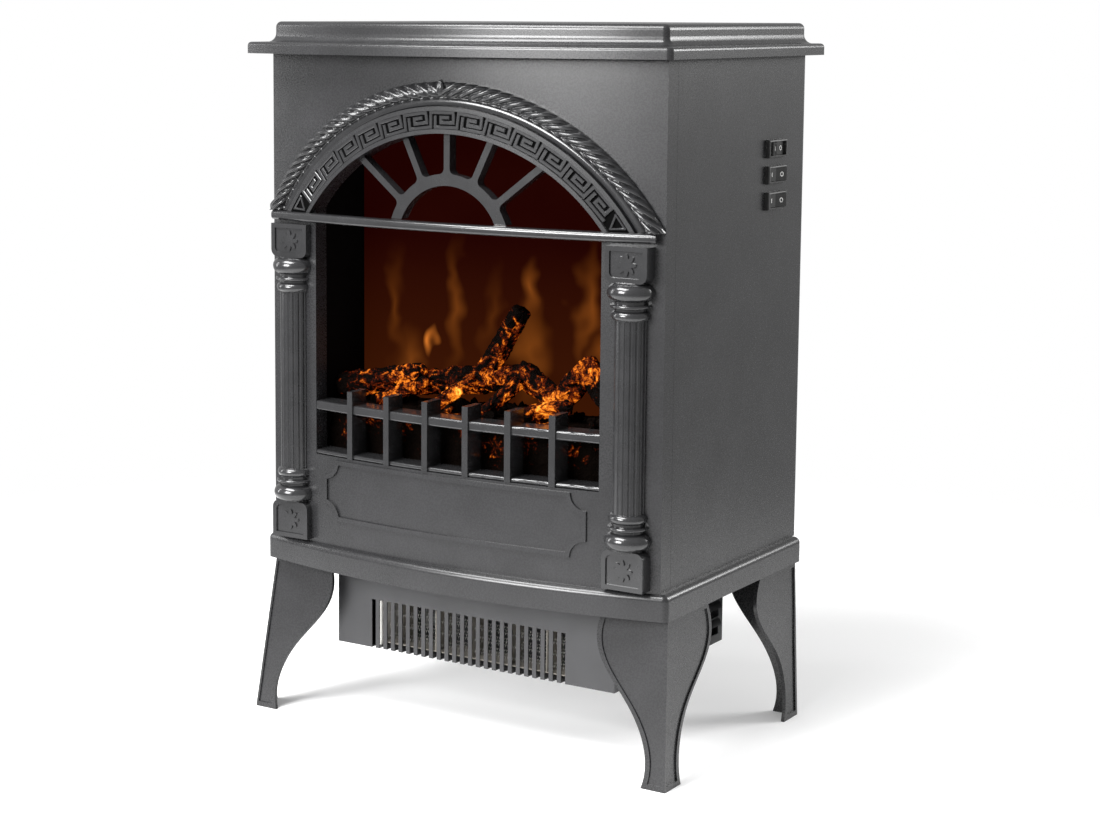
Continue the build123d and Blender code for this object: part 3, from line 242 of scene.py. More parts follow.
def tube_mesh(name, rings):
    """A closed mesh through these rings of points, with a face over each end."""
    points = [point for ring in rings for point in ring]
    sides = len(rings[0])
    ends = [list(range(sides)), list(reversed(range(len(points) - sides, len(points))))]
    return recalculate(make_mesh(name, points, grid_faces(len(rings), sides) + ends))


def add_part(points, faces, more_points, more_faces):
    """Adds one part's points and faces to those of a larger mesh."""
    faces += [[len(points) + k for k in face] for face in more_faces]
    points += more_points


def make_piece(name, mesh, material, slot, *replaced, body=BODY):
    """An object that shows this mesh, rides on a body and may stand for CAD nodes."""
    mesh.materials.clear()
    mesh.materials.append(material)
    piece = bpy.data.objects.new(name, mesh)
    bpy.context.scene.collection.objects.link(piece)
    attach(piece, body)
    if replaced:
        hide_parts(*replaced)
    return piece


def recalculate(mesh):
    """Turns the faces of a closed mesh outwards."""
    shape = bmesh.new()
    shape.from_mesh(mesh)
    bmesh.ops.remove_doubles(shape, verts=shape.verts, dist=1e-6)
    bmesh.ops.recalc_face_normals(shape, faces=shape.faces)
    shape.to_mesh(mesh)
    shape.free()
    return mesh


def paint_nodes(material, *names):
    """Gives a material to CAD nodes that keep their own shape."""
    for name in names:
        mesh = NODES[name].data
        if not mesh.materials:
            mesh.materials.append(material)
        for place in range(len(mesh.materials)):
            mesh.materials[place] = material


def join_meshes(first, second):
    """Adds a second mesh to the first."""
    shape = bmesh.new()
    shape.from_mesh(first)
    shape.from_mesh(second)
    shape.to_mesh(first)
    shape.free()


def box_strip(line, width, low, high, bevel):
    """A raised line of boxes along corners (x, z), from one height to another, narrower on top."""
    points, faces = [], []
    ring = (0, 1, 3, 2)
    for (ax, az), (bx, bz) in zip(line, line[1:]):
        base = len(points)
        run = Vector((bx - ax, bz - az)).normalized() * width / 2
        side = Vector((-run.y, run.x))
        for level, inset in ((low, 0.0), (high - bevel, 0.0), (high, bevel)):
            grow = 1 - 2 * inset / width
            for end, place in ((-1, (ax, az)), (1, (bx, bz))):
                for wing in (-1, 1):
                    x = place[0] + end * run.x * grow + wing * side.x * grow
                    z = place[1] + end * run.y * grow + wing * side.y * grow
                    points.append((x, -level, z))
        for layer in (base, base + 4):
            for a, b in zip(ring, ring[1:] + ring[:1]):
                faces.append([layer + a, layer + b, layer + 4 + b, layer + 4 + a])
        faces.append([base + 8 + k for k in ring])
        faces.append([base + k for k in reversed(ring)])
    return points, faces


# Geometry Nodes


def set_sockets(tree, node, sockets):
    """Gives a node's inputs a link or a plain value each."""
    for label, value in sockets.items():
        if isinstance(value, bpy.types.NodeSocket):
            tree.links.new(value, node.inputs[label])
        else:
            node.inputs[label].default_value = value


def add_node(tree, kind, sockets, **settings):
    """A new node with these settings and inputs."""
    node = tree.nodes.new(kind)
    for label, value in settings.items():
        setattr(node, label, value)
    set_sockets(tree, node, sockets)
    return node


def add_sockets(tree, way, sockets):
    """Names a tree's inputs or outputs, with their kinds and any defaults."""
    for label, kind, *default in sockets:
        made = tree.interface.new_socket(label, in_out=way, socket_type=f"NodeSocket{kind}")
        if default:
            made.default_value = default[0]


def new_tree(name, inputs):
    """A geometry tree with these named inputs. Returns it with its inputs and its output node."""
    tree = bpy.data.node_groups.new(name, "GeometryNodeTree")
    shape = ("Geometry", "Geometry")
    add_sockets(tree, "INPUT", (shape, *inputs))
    add_sockets(tree, "OUTPUT", (shape,))
    return tree, tree.nodes.new("NodeGroupInput").outputs, tree.nodes.new("NodeGroupOutput")


def close_tree(tree, given, end, instances):
    """Ends a tree in real geometry with its finish."""
    real = add_node(tree, "GeometryNodeRealizeInstances", {"Geometry": instances})
    finish = add_node(tree, "GeometryNodeSetMaterial", {
        "Geometry": real.outputs["Geometry"], "Material": given["Finish"],
    })
    tree.links.new(finish.outputs["Geometry"], end.inputs["Geometry"])
    return tree


def turned_copies(tree, given, piece):
    """Copies of a piece on the given points, turned by each point's own angles."""
    turn = add_node(tree, "GeometryNodeInputNamedAttribute", {"Name": "turn"},
                    data_type="FLOAT_VECTOR")
    angle = add_node(tree, "FunctionNodeEulerToRotation", {"Euler": turn.outputs["Attribute"]})
    return add_node(tree, "GeometryNodeInstanceOnPoints", {
        "Points": given["Geometry"], "Instance": piece, "Rotation": angle.outputs["Rotation"],
    }).outputs["Instances"]


def set_out_tree():
    """A tree that sets one copy of a piece on each point, turned by the point's own angles."""
    tree, given, end = new_tree("Set out", (("Piece", "Object"), ("Finish", "Material")))
    piece = add_node(tree, "GeometryNodeObjectInfo", {"Object": given["Piece"]})
    copies = turned_copies(tree, given, piece.outputs["Geometry"])
    return close_tree(tree, given, end, copies)


def scatter_tree():
    """A tree that scatters turned and uneven copies of a piece over a surface."""
    tree, given, end = new_tree("Scatter", (
        ("Piece", "Object"), ("Density", "Float"), ("Seed", "Int"), ("Finish", "Material"),
    ))
    piece = add_node(tree, "GeometryNodeObjectInfo", {"Object": given["Piece"]})
    points = add_node(tree, "GeometryNodeDistributePointsOnFaces", {
        "Mesh": given["Geometry"], "Density": given["Density"], "Seed": given["Seed"],
    })
    turn = add_node(tree, "FunctionNodeRandomValue", {
        1: (math.tau, math.tau, math.tau), "Seed": given["Seed"],
    }, data_type="FLOAT_VECTOR")
    size = add_node(tree, "FunctionNodeRandomValue", {
        0: (0.55, 0.55, 0.45), 1: (1.25, 1.1, 0.9), "Seed": given["Seed"],
    }, data_type="FLOAT_VECTOR")
    copies = add_node(tree, "GeometryNodeInstanceOnPoints", {
        "Points": points.outputs["Points"], "Instance": piece.outputs["Geometry"],
        "Rotation": turn.outputs[0], "Scale": size.outputs[0],
    })
    return close_tree(tree, given, end, copies.outputs["Instances"])


def coil_tree():
    """A tree that winds one coil along Z on each point, turned by the point's own angles."""
    tree, given, end = new_tree("Coil", (
        ("Turns", "Float"), ("Coil radius", "Float"), ("Length", "Float"),
        ("Wire radius", "Float"), ("Finish", "Material"),
    ))
    spiral = add_node(tree, "GeometryNodeCurveSpiral", {
        "Resolution": 9, "Rotations": given["Turns"], "Start Radius": given["Coil radius"],
        "End Radius": given["Coil radius"], "Height": given["Length"],
    })
    wire = add_node(tree, "GeometryNodeCurvePrimitiveCircle", {
        "Resolution": 4, "Radius": given["Wire radius"],
    })
    tube = add_node(tree, "GeometryNodeCurveToMesh", {
        "Curve": spiral.outputs["Curve"], "Profile Curve": wire.outputs["Curve"],
        "Fill Caps": True,
    })
    return close_tree(tree, given, end, turned_copies(tree, given, tube.outputs["Mesh"]))


def bake(tree, base, values):
    """The plain mesh that a tree makes from a base mesh and its named inputs."""
    carrier = bpy.data.objects.new("carrier", base)
    bpy.context.scene.collection.objects.link(carrier)
    layout = carrier.modifiers.new("Layout", "NODES")
    layout.node_group = tree
    for item in tree.interface.items_tree:
        if item.item_type == "SOCKET" and item.in_out == "INPUT" and item.name in values:
            layout[item.identifier] = values[item.name]
    bpy.context.view_layer.update()
    graph = bpy.context.evaluated_depsgraph_get()
    made = bpy.data.meshes.new_from_object(carrier.evaluated_get(graph), depsgraph=graph)
    carrier.modifiers.remove(layout)
    bpy.data.objects.remove(carrier)
    return made


def turned_points(name, places):
    """A mesh of points, each with the angles that its copy is turned by."""
    mesh = bpy.data.meshes.new(name)
    mesh.from_pydata([tuple(place) for place, _ in places], [], [])
    angles = mesh.attributes.new("turn", "FLOAT_VECTOR", "POINT")
    for value, (_, turn) in zip(angles.data, places):
        value.vector = turn
    return mesh


def loose_piece(name, mesh):
    """An object outside the stove that a tree copies, taken away once it is copied."""
    piece = bpy.data.objects.new(name, mesh)
    bpy.context.scene.collection.objects.link(piece)
    return piece


# Shader groups


def shader_group(name, inputs, outputs):
    """A shader group with its named inputs and their defaults. Returns its inputs too."""
    tree = bpy.data.node_groups.new(name, "ShaderNodeTree")
    add_sockets(tree, "INPUT", inputs)
    add_sockets(tree, "OUTPUT", outputs)
    return tree, tree.nodes.new("NodeGroupInput").outputs


def close_group(tree, sockets):
    """Links a shader group's outputs."""
    set_sockets(tree, tree.nodes.new("NodeGroupOutput"), sockets)


def object_place(tree):
    """The point on the piece, in its own frame."""
    return tree.nodes.new("ShaderNodeTexCoord").outputs["Object"]


def split_place(tree):
    """The X, Y and Z of the point on the piece."""
    return add_node(tree, "ShaderNodeSeparateXYZ", {"Vector": object_place(tree)}).outputs


def noise_at(tree, place, scale, detail, roughness=0.55, distortion=0.0):
    """A noise node's factor at a place."""
    return add_node(tree, "ShaderNodeTexNoise", {
        "Vector": place, "Scale": scale, "Detail": detail, "Roughness": roughness,
        "Distortion": distortion,
    }).outputs["Fac"]


def reckon(tree, operation, first, second):
    """A math node on two values, each a socket or a number."""
    return add_node(tree, "ShaderNodeMath", {0: first, 1: second}, operation=operation).outputs[0]


def vector_node(tree, operation, *vectors):
    """The outputs of a vector math node."""
    return add_node(tree, "ShaderNodeVectorMath", dict(enumerate(vectors)),
                    operation=operation).outputs


def span(tree, value, low, high, to_low=0.0, to_high=1.0):
    """Maps a value from one range to another, held at its ends."""
    return add_node(tree, "ShaderNodeMapRange", {
        "Value": value, "From Min": low, "From Max": high, "To Min": to_low, "To Max": to_high,
    }).outputs["Result"]


def blend_colours(tree, share, *shades):
    """A colour between two others, each a socket or a colour."""
    first, second = (
        shade if isinstance(shade, bpy.types.NodeSocket) else (*shade, 1) for shade in shades
    )
    return add_node(tree, "ShaderNodeMix", {"Factor": share, 6: first, 7: second},
                    data_type="RGBA").outputs[2]


def paint_grain_group():
    """Cloudy tone, fine roughness and orange peel of sprayed paint."""
    tree, given = shader_group(
        "Paint grain", (("Scale", "Float", 30.0),),
        (("Tone", "Float"), ("Fine", "Float"), ("Height", "Float")),
    )
    place = object_place(tree)
    fine = noise_at(tree, place, reckon(tree, "MULTIPLY", given["Scale"], 26.0), 3)
    peel = noise_at(tree, place, reckon(tree, "MULTIPLY", given["Scale"], 9.0), 2)
    close_group(tree, {
        "Tone": noise_at(tree, place, given["Scale"], 4), "Fine": fine,
        "Height": reckon(tree, "ADD", reckon(tree, "MULTIPLY", fine, 0.35), peel),
    })


def brushed_lines_group():
    """Long fine lines of rolled or drawn metal along the piece's X."""
    tree, given = shader_group(
        "Brushed lines", (("Scale", "Float", 900.0),),
        (("Line", "Float"), ("Cloud", "Float")),
    )
    place = object_place(tree)
    stretch = add_node(tree, "ShaderNodeMapping", {"Vector": place, "Scale": (0.03, 1, 1)})
    close_group(tree, {
        "Line": noise_at(tree, stretch.outputs["Vector"], given["Scale"], 3),
        "Cloud": noise_at(tree, place, 40, 4),
    })


def painted_glow_group():
    """Painted light: the glow that makes the lit resin look like wood on fire, from a glow level
    given at each place.
    """
    tree, given = shader_group(
        "Painted resin glow",
        (("Scale", "Float", 60.0), ("Heat", "Float", 0.5),
         ("Dark", "Color", (0.1, 0.01, 0.0, 1)),
         ("Warm", "Color", (0.9, 0.2, 0.01, 1)),
         ("Hot", "Color", (1.0, 0.6, 0.08, 1))),
        (("Glow", "Color"), ("Crack", "Float"), ("Height", "Float")),
    )
    place = object_place(tree)
    patch = noise_at(tree, place, given["Scale"], 6, 0.62, 1.6)
    fine = noise_at(tree, place, reckon(tree, "MULTIPLY", given["Scale"], 5.0), 5, 0.6, 0.8)
    heat = reckon(tree, "ADD", patch, reckon(tree, "MULTIPLY", fine, 0.45))
    heat = reckon(tree, "MULTIPLY", reckon(tree, "SUBTRACT", heat, 0.92), 2.6)
    heat = reckon(tree, "ADD", heat, given["Heat"])
    glow, shares = (0.0, 0.0, 0.0), {}
    for label, low, high in (("Dark", 0.18, 0.52), ("Warm", 0.42, 0.78), ("Hot", 0.74, 1.12)):
        shares[label] = span(tree, heat, low, high)
        glow = blend_colours(tree, shares[label], glow, given[label])
    close_group(tree, {
        "Glow": glow, "Crack": shares["Warm"], "Height": reckon(tree, "ADD", fine, patch),
    })


def place_group(tree, group, **values):
    """Puts a shader group in a material with its own values. Returns its outputs."""
    sockets = {}
    for label, value in values.items():
        sockets[label.capitalize()] = (*value, 1) if hasattr(value, "__len__") else value
    return add_node(tree, "ShaderNodeGroup", sockets,
                    node_tree=bpy.data.node_groups[group]).outputs


def new_material(name):
    """A material with a plain Principled shader. Returns it with its tree and shader."""
    material = bpy.data.materials.new(name)
    material.use_nodes = True
    return material, material.node_tree, material.node_tree.nodes["Principled BSDF"]


def raised(tree, height, strength, distance):
    """The surface's normal, raised by a height."""
    return add_node(tree, "ShaderNodeBump", {
        "Strength": strength, "Distance": distance, "Height": height,
    }).outputs["Normal"]


def paint(name, colour, roughness, grain=30.0, strength=0.02, coat=0.0, specular=0.5):
    """Sprayed or moulded finish with a cloudy tone and orange peel."""
    material, tree, shader = new_material(name)
    body = place_group(tree, "Paint grain", scale=grain)
    darker = [part * 0.82 for part in colour]
    lighter = [min(1.0, part * 1.16) for part in colour]
    tone = span(tree, body["Tone"], 0.3, 0.7)
    set_sockets(tree, shader, {
        "Base Color": blend_colours(tree, tone, darker, lighter),
        "Roughness": span(tree, body["Fine"], 0.25, 0.75, roughness - 0.02, roughness + 0.03),
        "Coat Weight": coat, "Coat Roughness": 0.12, "Specular IOR Level": specular,
        "Normal": raised(tree, body["Height"], strength, 0.2 * MM),
    })
    return material


def bare_metal(name, colour, roughness, scale=900.0):
    """Rolled or drawn metal with fine lines."""
    material, tree, shader = new_material(name)
    body = place_group(tree, "Brushed lines", scale=scale)
    tone = span(tree, body["Cloud"], 0.3, 0.7)
    set_sockets(tree, shader, {
        "Base Color": blend_colours(tree, tone, [part * 0.84 for part in colour], colour),
        "Roughness": span(tree, body["Line"], 0.3, 0.7, roughness - 0.06, roughness + 0.1),
        "Metallic": 1.0, "Normal": raised(tree, body["Line"], 0.1, 0.05 * MM),
    })
    return material


def painted_glow_from_spots(tree, place, reach, spots):
    """How much painted glow a place gets, by its distance from the bright spots and how bright each
    one is.
    """
    total = 0.0
    for *spot, most in spots:
        away = vector_node(tree, "DISTANCE", place, [part * MM for part in spot])["Value"]
        total = reckon(tree, "MAXIMUM", total, span(tree, away, 4 * MM, reach, most, 0.0))
    return total


def charred_with_painted_glow(name, scale, spots, least_glow, spot_glow, reach, strength, soot, relief):
    """Charred wood with painted light glowing in its cracks, and more so near the bright spots."""
    material, tree, shader = new_material(name)
    heat = painted_glow_from_spots(tree, object_place(tree), reach, spots)
    heat = reckon(tree, "ADD", reckon(tree, "MULTIPLY", heat, spot_glow - least_glow), least_glow)
    shades = colours()
    body = place_group(
        tree, "Painted resin glow", scale=scale, heat=heat, dark=shades.ember_dark,
        warm=shades.ember_warm, hot=shades.ember_hot,
    )
    # Painted light: the glow is emitted from the wood's and the bed's own surface.
    set_sockets(tree, shader, {
        "Base Color": blend_colours(tree, body["Crack"], soot, (0.10, 0.02, 0.003)),
        "Roughness": span(tree, body["Height"], 0.6, 1.2, 0.42, 0.75),
        "Emission Color": body["Glow"], "Emission Strength": strength,
        "Specular IOR Level": 0.02, "Normal": raised(tree, body["Height"], 0.9, relief),
    })
    return material


def flame_at(tree, place, middle, half_width, half_height):
    """How near a place is to the heart of one flame, from none at its edge to one."""
    away = vector_node(tree, "SUBTRACT", place, [part * MM for part in middle])["Vector"]
    shrink = (1 / (half_width * MM), 0, 1 / (half_height * MM))
    reach = vector_node(tree, "LENGTH", vector_node(tree, "MULTIPLY", away, shrink)["Vector"])
    return span(tree, reach["Value"], 0.0, 1.0, 1.0, 0.0)


def flame_screen_painted_light():
    """Painted light: the dark red screen with faint tall flames, as its lights throw them, emitted
    from the screen itself with a warm glow towards its foot.
    """
    material, tree, shader = new_material("Flame screen")
    parts = split_place(tree)
    sway = reckon(tree, "SUBTRACT", noise_at(tree, object_place(tree), 22, 2), 0.5)
    curl = add_node(tree, "ShaderNodeCombineXYZ", {
        "X": reckon(tree, "ADD", parts["X"], reckon(tree, "MULTIPLY", sway, 0.055)),
        "Y": parts["Y"], "Z": parts["Z"],
    })
    # Painted light: a warm glow is emitted low on the screen, fading upwards.
    low_painted_glow = reckon(tree, "MULTIPLY", span(tree, parts["Z"], 0.25, 0.39, 1.0, 0.0), 0.9)
    glow = blend_colours(tree, low_painted_glow, colours().screen, (0.044, 0.009, 0.0015))
    # Painted light: each flame is emitted on the screen.
    for middle, half_width, half_height, bright in FLAMES:
        near = flame_at(tree, curl.outputs["Vector"], middle, half_width, half_height)
        share = reckon(tree, "MULTIPLY", reckon(tree, "POWER", near, 1.5), bright)
        glow = blend_colours(tree, share, glow, (0.62, 0.17, 0.022))
    grain = place_group(tree, "Paint grain", scale=60.0)
    set_sockets(tree, shader, {
        "Base Color": (0.003, 0.0006, 0.0003, 1), "Emission Color": glow,
        "Emission Strength": 1.0, "Specular IOR Level": 0.0,
        "Roughness": span(tree, grain["Fine"], 0.25, 0.75, 0.55, 0.7),
    })
    return material


def recess_with_painted_shade():
    """Enamel with painted shade: near-black and matt in the key band's recess, between its rims,
    where shade falls.
    """
    shades = colours()
    material = paint("Key band enamel with painted shade", shades.enamel, shades.enamel_roughness, grain=60.0)
    tree = material.node_tree
    shader = tree.nodes["Principled BSDF"]
    parts = split_place(tree)
    drop = reckon(tree, "SUBTRACT", parts["Z"], ARCH_CENTRE)
    squares = [reckon(tree, "MULTIPLY", side, side) for side in (parts["X"], drop)]
    radius = reckon(tree, "POWER", reckon(tree, "ADD", *squares), 0.5)
    inside = reckon(tree, "MULTIPLY", reckon(tree, "LESS_THAN", radius, RECESS_OUTER),
                    reckon(tree, "GREATER_THAN", radius, RECESS_INNER))
    painted = shader.inputs["Base Color"].links[0].from_socket
    gloss = shader.inputs["Roughness"].links[0].from_socket
    # Painted shade: between the rims the colour is made near-black, rougher and almost without
    # reflection.
    set_sockets(tree, shader, {
        "Base Color": blend_colours(tree, inside, painted, (0.002, 0.002, 0.002)),
        "Roughness": reckon(tree, "ADD", gloss, reckon(tree, "MULTIPLY", inside, 0.5)),
        "Specular IOR Level": span(tree, inside, 0, 1, 0.5, 0.02),
    })
    return material


# Pieces


def ring_angle(radius):
    """The angle where a ring of this radius meets the transom."""
    return math.asin((TRANSOM_TOP + SEAT_GAP - ARCH_CENTRE) / radius)


def key_line(points, width):
    """A raised line of the key pattern along these corners."""
    return box_strip(points, width, KEY_BASE, BAND_FACE + sizes().key_height, 0.45 * MM)


def key_unit():
    """One key of the band's pattern, drawn flat round the band's middle radius."""
    half = sizes().key_pitch / MM / 2
    outer, inner = 5.6, 1.9
    hook = [(-10.6, -outer), (-10.6, outer), (9.6, outer), (9.6, -inner), (-1.6, -inner),
            (-1.6, inner), (4.6, inner)]
    foot = [(-6.6, inner), (-6.6, -outer), (half - 0.2, -outer)]
    points, faces = [], []
    for line in (hook, foot):
        add_part(points, faces, *key_line([(x * MM, z * MM) for x, z in line], sizes().key_line))
    return make_mesh("key_unit", points, faces, smooth=False)


def key_ends(first):
    """The small triangle that fills each end of the key pattern, from this angle on."""
    points, faces = [], []
    outer, inner = 178.8 * MM, 169.4 * MM
    reach = math.radians(3.9)
    corners = [(outer, first), (outer, first + reach), (inner, first + reach / 2), (outer, first)]
    for side in (-1, 1):
        line = [(side * r * math.sin(a), ARCH_CENTRE + r * math.cos(a)) for r, a in corners]
        add_part(points, faces, *key_line(line, 1.7 * MM))
    return make_mesh("key_ends", points, faces, smooth=False)


def make_key_pattern(finish):
    """The running key pattern between the band's rims, with a triangle at each end."""
    step = sizes().key_pitch / KEY_MIDDLE
    lowest = ring_angle(KEY_MIDDLE) + step * 0.42
    count = int((math.pi / 2 - lowest) / step)
    unit = loose_piece("key_unit", key_unit())
    places = []
    for place in range(-count, count + 1):
        lean = place * step
        spot = (KEY_MIDDLE * math.sin(lean), 0, ARCH_CENTRE + KEY_MIDDLE * math.cos(lean))
        places.append((spot, (0, lean, 0)))
    made = bake(set_out_tree(), turned_points("key_places", places),
                {"Piece": unit, "Finish": finish})
    bpy.data.objects.remove(unit)
    join_meshes(made, key_ends((count + 0.62) * step))
    wrap_on_front(made)
    recalculate(made)
    made.shade_flat()
    return make_piece("key_pattern", made, finish, "black_enamel")


def rope_section(arc):
    """The rope's section at this arc length: radii and heights with its strands' relief."""
    values = sizes()
    turns = 18
    middle, half = (ROPE_INNER + ROPE_OUTER) / 2, (ROPE_OUTER - ROPE_INNER) / 2
    edge, crown = 1.6 * MM, 7.9 * MM
    section = [(BORDER_INNER, SEAT_GAP), (BORDER_INNER, 2.8 * MM),
               (BORDER_INNER + 0.4 * MM, 3.2 * MM), (ROPE_INNER - 2.2 * MM, 3.2 * MM),
               (ROPE_INNER - 0.6 * MM, 2.6 * MM)]
    for place in range(turns + 1):
        swing = math.pi * place / turns
        across = -math.cos(swing)
        phase = arc / values.strand_pitch - across * 0.8
        groove = 1 - abs(math.sin(math.pi * phase)) ** 0.6
        fine = abs(math.sin(3 * math.pi * phase)) ** 0.7
        dip, rise = 0, 0
        if 0 < place < turns:
            dip = values.strand_depth * groove + 0.4 * MM * (1 - fine)
            dip *= math.sin(swing) ** 0.5
            rise = crown * math.sin(swing) ** 0.75
        section.append((middle + across * (half - 0.55 * dip), edge + rise - dip))
    section.append((ROPE_OUTER, SEAT_GAP))
    return section


def make_rope(finish):
    """The twisted rope and its border round the arch, mirrored about the arch's top."""
    steps, middle = 230, (ROPE_INNER + ROPE_OUTER) / 2
    rings = []
    for place in range(-steps, steps + 1):
        side = 1 if place >= 0 else -1
        share = abs(place) / steps
        arc = share * (math.pi / 2 - ring_angle(middle)) * middle
        ring = []
        for radius, height in rope_section(arc):
            lean = share * (math.pi / 2 - ring_angle(radius)) * side
            ring.append(on_front(
                radius * math.sin(lean), ARCH_CENTRE + radius * math.cos(lean), height,
            ))
        rings.append(ring)
    rope = tube_mesh("rope", rings)
    return make_piece("rope_arch_carved", rope, finish, "black_enamel", "rope_arch")


def make_transom(finish):
    """The rounded bar under the arch, swept along the bow."""
    base, tall, proud, edge = 403.2 * MM, 7.2 * MM, 8 * MM, 2.8 * MM
    half, steps, turns = 172 * MM, 150, 8
    section = [(base, SEAT_GAP)]
    for middle, first in ((base + edge, 3 * math.pi / 2), (base + tall - edge, 0.0)):
        for place in range(turns + 1):
            swing = first + math.pi / 2 * place / turns
            section.append((middle + edge * math.sin(swing), proud - edge + edge * math.cos(swing)))
    section.append((base + tall, SEAT_GAP))
    places = [half * (2 * step / steps - 1) for step in range(steps + 1)]
    bar = tube_mesh("transom", [[on_front(x, z, height) for z, height in section] for x in places])
    bar.set_sharp_from_angle(angle=math.radians(40))
    return make_piece("transom_moulding", bar, finish, "black_enamel", "transom_bar")


def make_leaf(finish):
    """The little leaf that covers the rope's middle at the arch's top."""
    rings, sides = 10, 28
    points = []
    middle, back = 511.7 * MM, 6.5 * MM
    for ring in range(rings + 1):
        share = ring / rings
        for place in range(sides):
            swing = math.tau * place / sides
            wide = 3.5 * MM * (1 - 0.25 * max(0.0, math.sin(swing)))
            x = wide * share * math.cos(swing)
            z = middle + 6.4 * MM * share * math.sin(swing)
            vein = 0.64 * MM * math.exp(-(x / (0.7 * MM)) ** 2)
            height = 8.3 * MM + 2.0 * MM * (1 - share**2) - vein
            points.append(on_front(x, z, height if ring < rings else back))
    faces = grid_faces(rings + 1, sides) + [[rings * sides + k for k in range(sides)]]
    leaf = recalculate(make_mesh("leaf", points, faces))
    return make_piece("apex_leaf", leaf, finish, "black_enamel")


def bark_tube(start, end, first, last, seed):
    """One log: a tapered tube with deep bark, knots and broken ends."""
    start, end = Vector(start) * MM, Vector(end) * MM
    first, last = first * MM, last * MM
    run = end - start
    turn = run.to_track_quat("Z", "Y").to_matrix()
    rings, sides = max(24, int(run.length / (1.3 * MM))), 56
    depth = sizes().bark_depth
    shift = Vector((seed * 3.7, seed * 1.9, seed * 5.3))
    reach = 0.62
    points = []
    for ring in range(rings + 1):
        share = ring / rings
        along = -reach * first + share * (run.length + reach * (first + last))
        radius = first + (last - first) * min(1.0, max(0.0, along / run.length))
        past = max(0.0, -along / (reach * first), (along - run.length) / (reach * last))
        cap = math.sqrt(max(0.0, 1 - past**4))
        for place in range(sides):
            swing = math.tau * place / sides
            spot = Vector((math.cos(swing), math.sin(swing), along / (first * 2.6))) + shift
            ridge = noise.ridged_multi_fractal(spot * 1.9, 0.9, 2.1, 4, 1.0, 2.0)
            lump = noise.fractal(spot * 0.8, 0.9, 2.0, 3)
            bark = 1 - depth * 0.5 + depth * (0.30 * ridge - 0.28) + 0.16 * lump
            size = radius * cap * min(1.06, bark)
            near = Vector((math.cos(swing) * size, math.sin(swing) * size, along))
            if past > 0:
                near.z += 2.4 * MM * noise.noise(spot * 3.1) * past
            points.append(start + turn @ near)
    ends = [list(reversed(range(sides))), [rings * sides + k for k in range(sides)]]
    return points, grid_faces(rings + 1, sides) + ends


def make_logs(finish):
    """The pile of glowing logs on the ember bed."""
    points, faces = [], []
    for place, line in enumerate(LOG_LINES):
        add_part(points, faces, *bark_tube(*line, sizes().seed + place))
    low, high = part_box("log_set")
    for point in points:
        point.x = min(max(point.x, low[0]), high[0])
        point.y = min(max(point.y, low[1] + 1 * MM), high[1] + 8 * MM)
        point.z = max(point.z, low[2] - 3 * MM)
    return make_piece("log_pile", recalculate(make_mesh("logs", points, faces)),
                      finish, "log_resin", "log_set")


def bed_surface(columns, rows):
    """The ember bed's crumbled front and top: rows of points from its foot to its back."""
    low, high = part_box("ember_bed")
    brink = 0.45
    points = []
    for column in range(columns + 1):
        x = low[0] + (high[0] - low[0]) * column / columns
        front = front_line(x) + 20 * MM
        for row in range(rows + 1):
            share = row / rows
            if share < brink:
                y, z = front, low[2] + (high[2] - low[2]) * share / brink
            else:
                y, z = front + (high[1] - front) * (share - brink) / (1 - brink), high[2]
            spot = Vector((x, y, z))
            crumble = noise.ridged_multi_fractal(spot * 95, 0.9, 2.1, 4, 1.0, 2.0)
            lump = noise.fractal(spot * 45, 0.9, 2.0, 3)
            sink = max(0.0, (3.2 - 1.5 * crumble - 2.0 * lump) * MM)
            points.append(Vector((x, y + sink, z) if share < brink else (x, y, z - sink)))
    return points


def make_ember_bed(finish):
    """The bed of embers behind the fender, with a crumbled front and top."""
    columns, rows = 170, 60
    low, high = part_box("ember_bed")
    points = bed_surface(columns, rows)
    wide, foot = rows + 1, len(points)
    for column in range(columns + 1):
        x = low[0] + (high[0] - low[0]) * column / columns
        points.append(Vector((x, high[1], low[2])))
    faces = grid_faces(columns + 1, wide, closed=False, turned=True)
    for column in range(columns):
        start, after = column * wide, (column + 1) * wide
        back = [foot + column + 1, foot + column]
        faces += [[start + rows, after + rows, *back], [*reversed(back), after, start]]
    faces.append([*range(wide), foot])
    faces.append([foot + columns, *reversed(range(columns * wide, (columns + 1) * wide))])
    bed = recalculate(make_mesh("ember_bed", points, faces))
    return make_piece("ember_bed_crumbled", bed, finish, "ember_resin", "ember_bed")


def ember_lump():
    """One rough lump, as an uneven ball of a few dozen faces."""
    shape = bmesh.new()
    bmesh.ops.create_icosphere(shape, subdivisions=2, radius=sizes().lump_size)
    for vertex in shape.verts:
        spot = vertex.co / sizes().lump_size
        vertex.co *= 0.82 + 0.36 * noise.fractal(spot * 1.3, 0.9, 2.0, 3)
    mesh = bpy.data.meshes.new("lump")
    shape.to_mesh(mesh)
    shape.free()
    mesh.shade_flat()
    return mesh


def make_ember_lumps(finish):
    """Loose embers scattered over the bed's top."""
    columns, rows = 40, 6
    low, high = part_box("ember_bed")
    margin = 8 * MM
    points = []
    for column in range(columns + 1):
        x = low[0] + margin + (high[0] - low[0] - 2 * margin) * column / columns
        front = front_line(x) + 27 * MM
        for row in range(rows + 1):
            y = front + (high[1] - margin - front) * row / rows
            points.append((x, y, high[2] + 0.5 * MM))
    faces = grid_faces(columns + 1, rows + 1, closed=False, turned=True)
    lump = loose_piece("lump", ember_lump())
    made = bake(scatter_tree(), make_mesh("lump_ground", points, faces), {
        "Piece": lump, "Density": sizes().lump_density, "Seed": sizes().seed, "Finish": finish,
    })
    bpy.data.objects.remove(lump)
    return make_piece("ember_lumps", made, finish, "ember_resin")


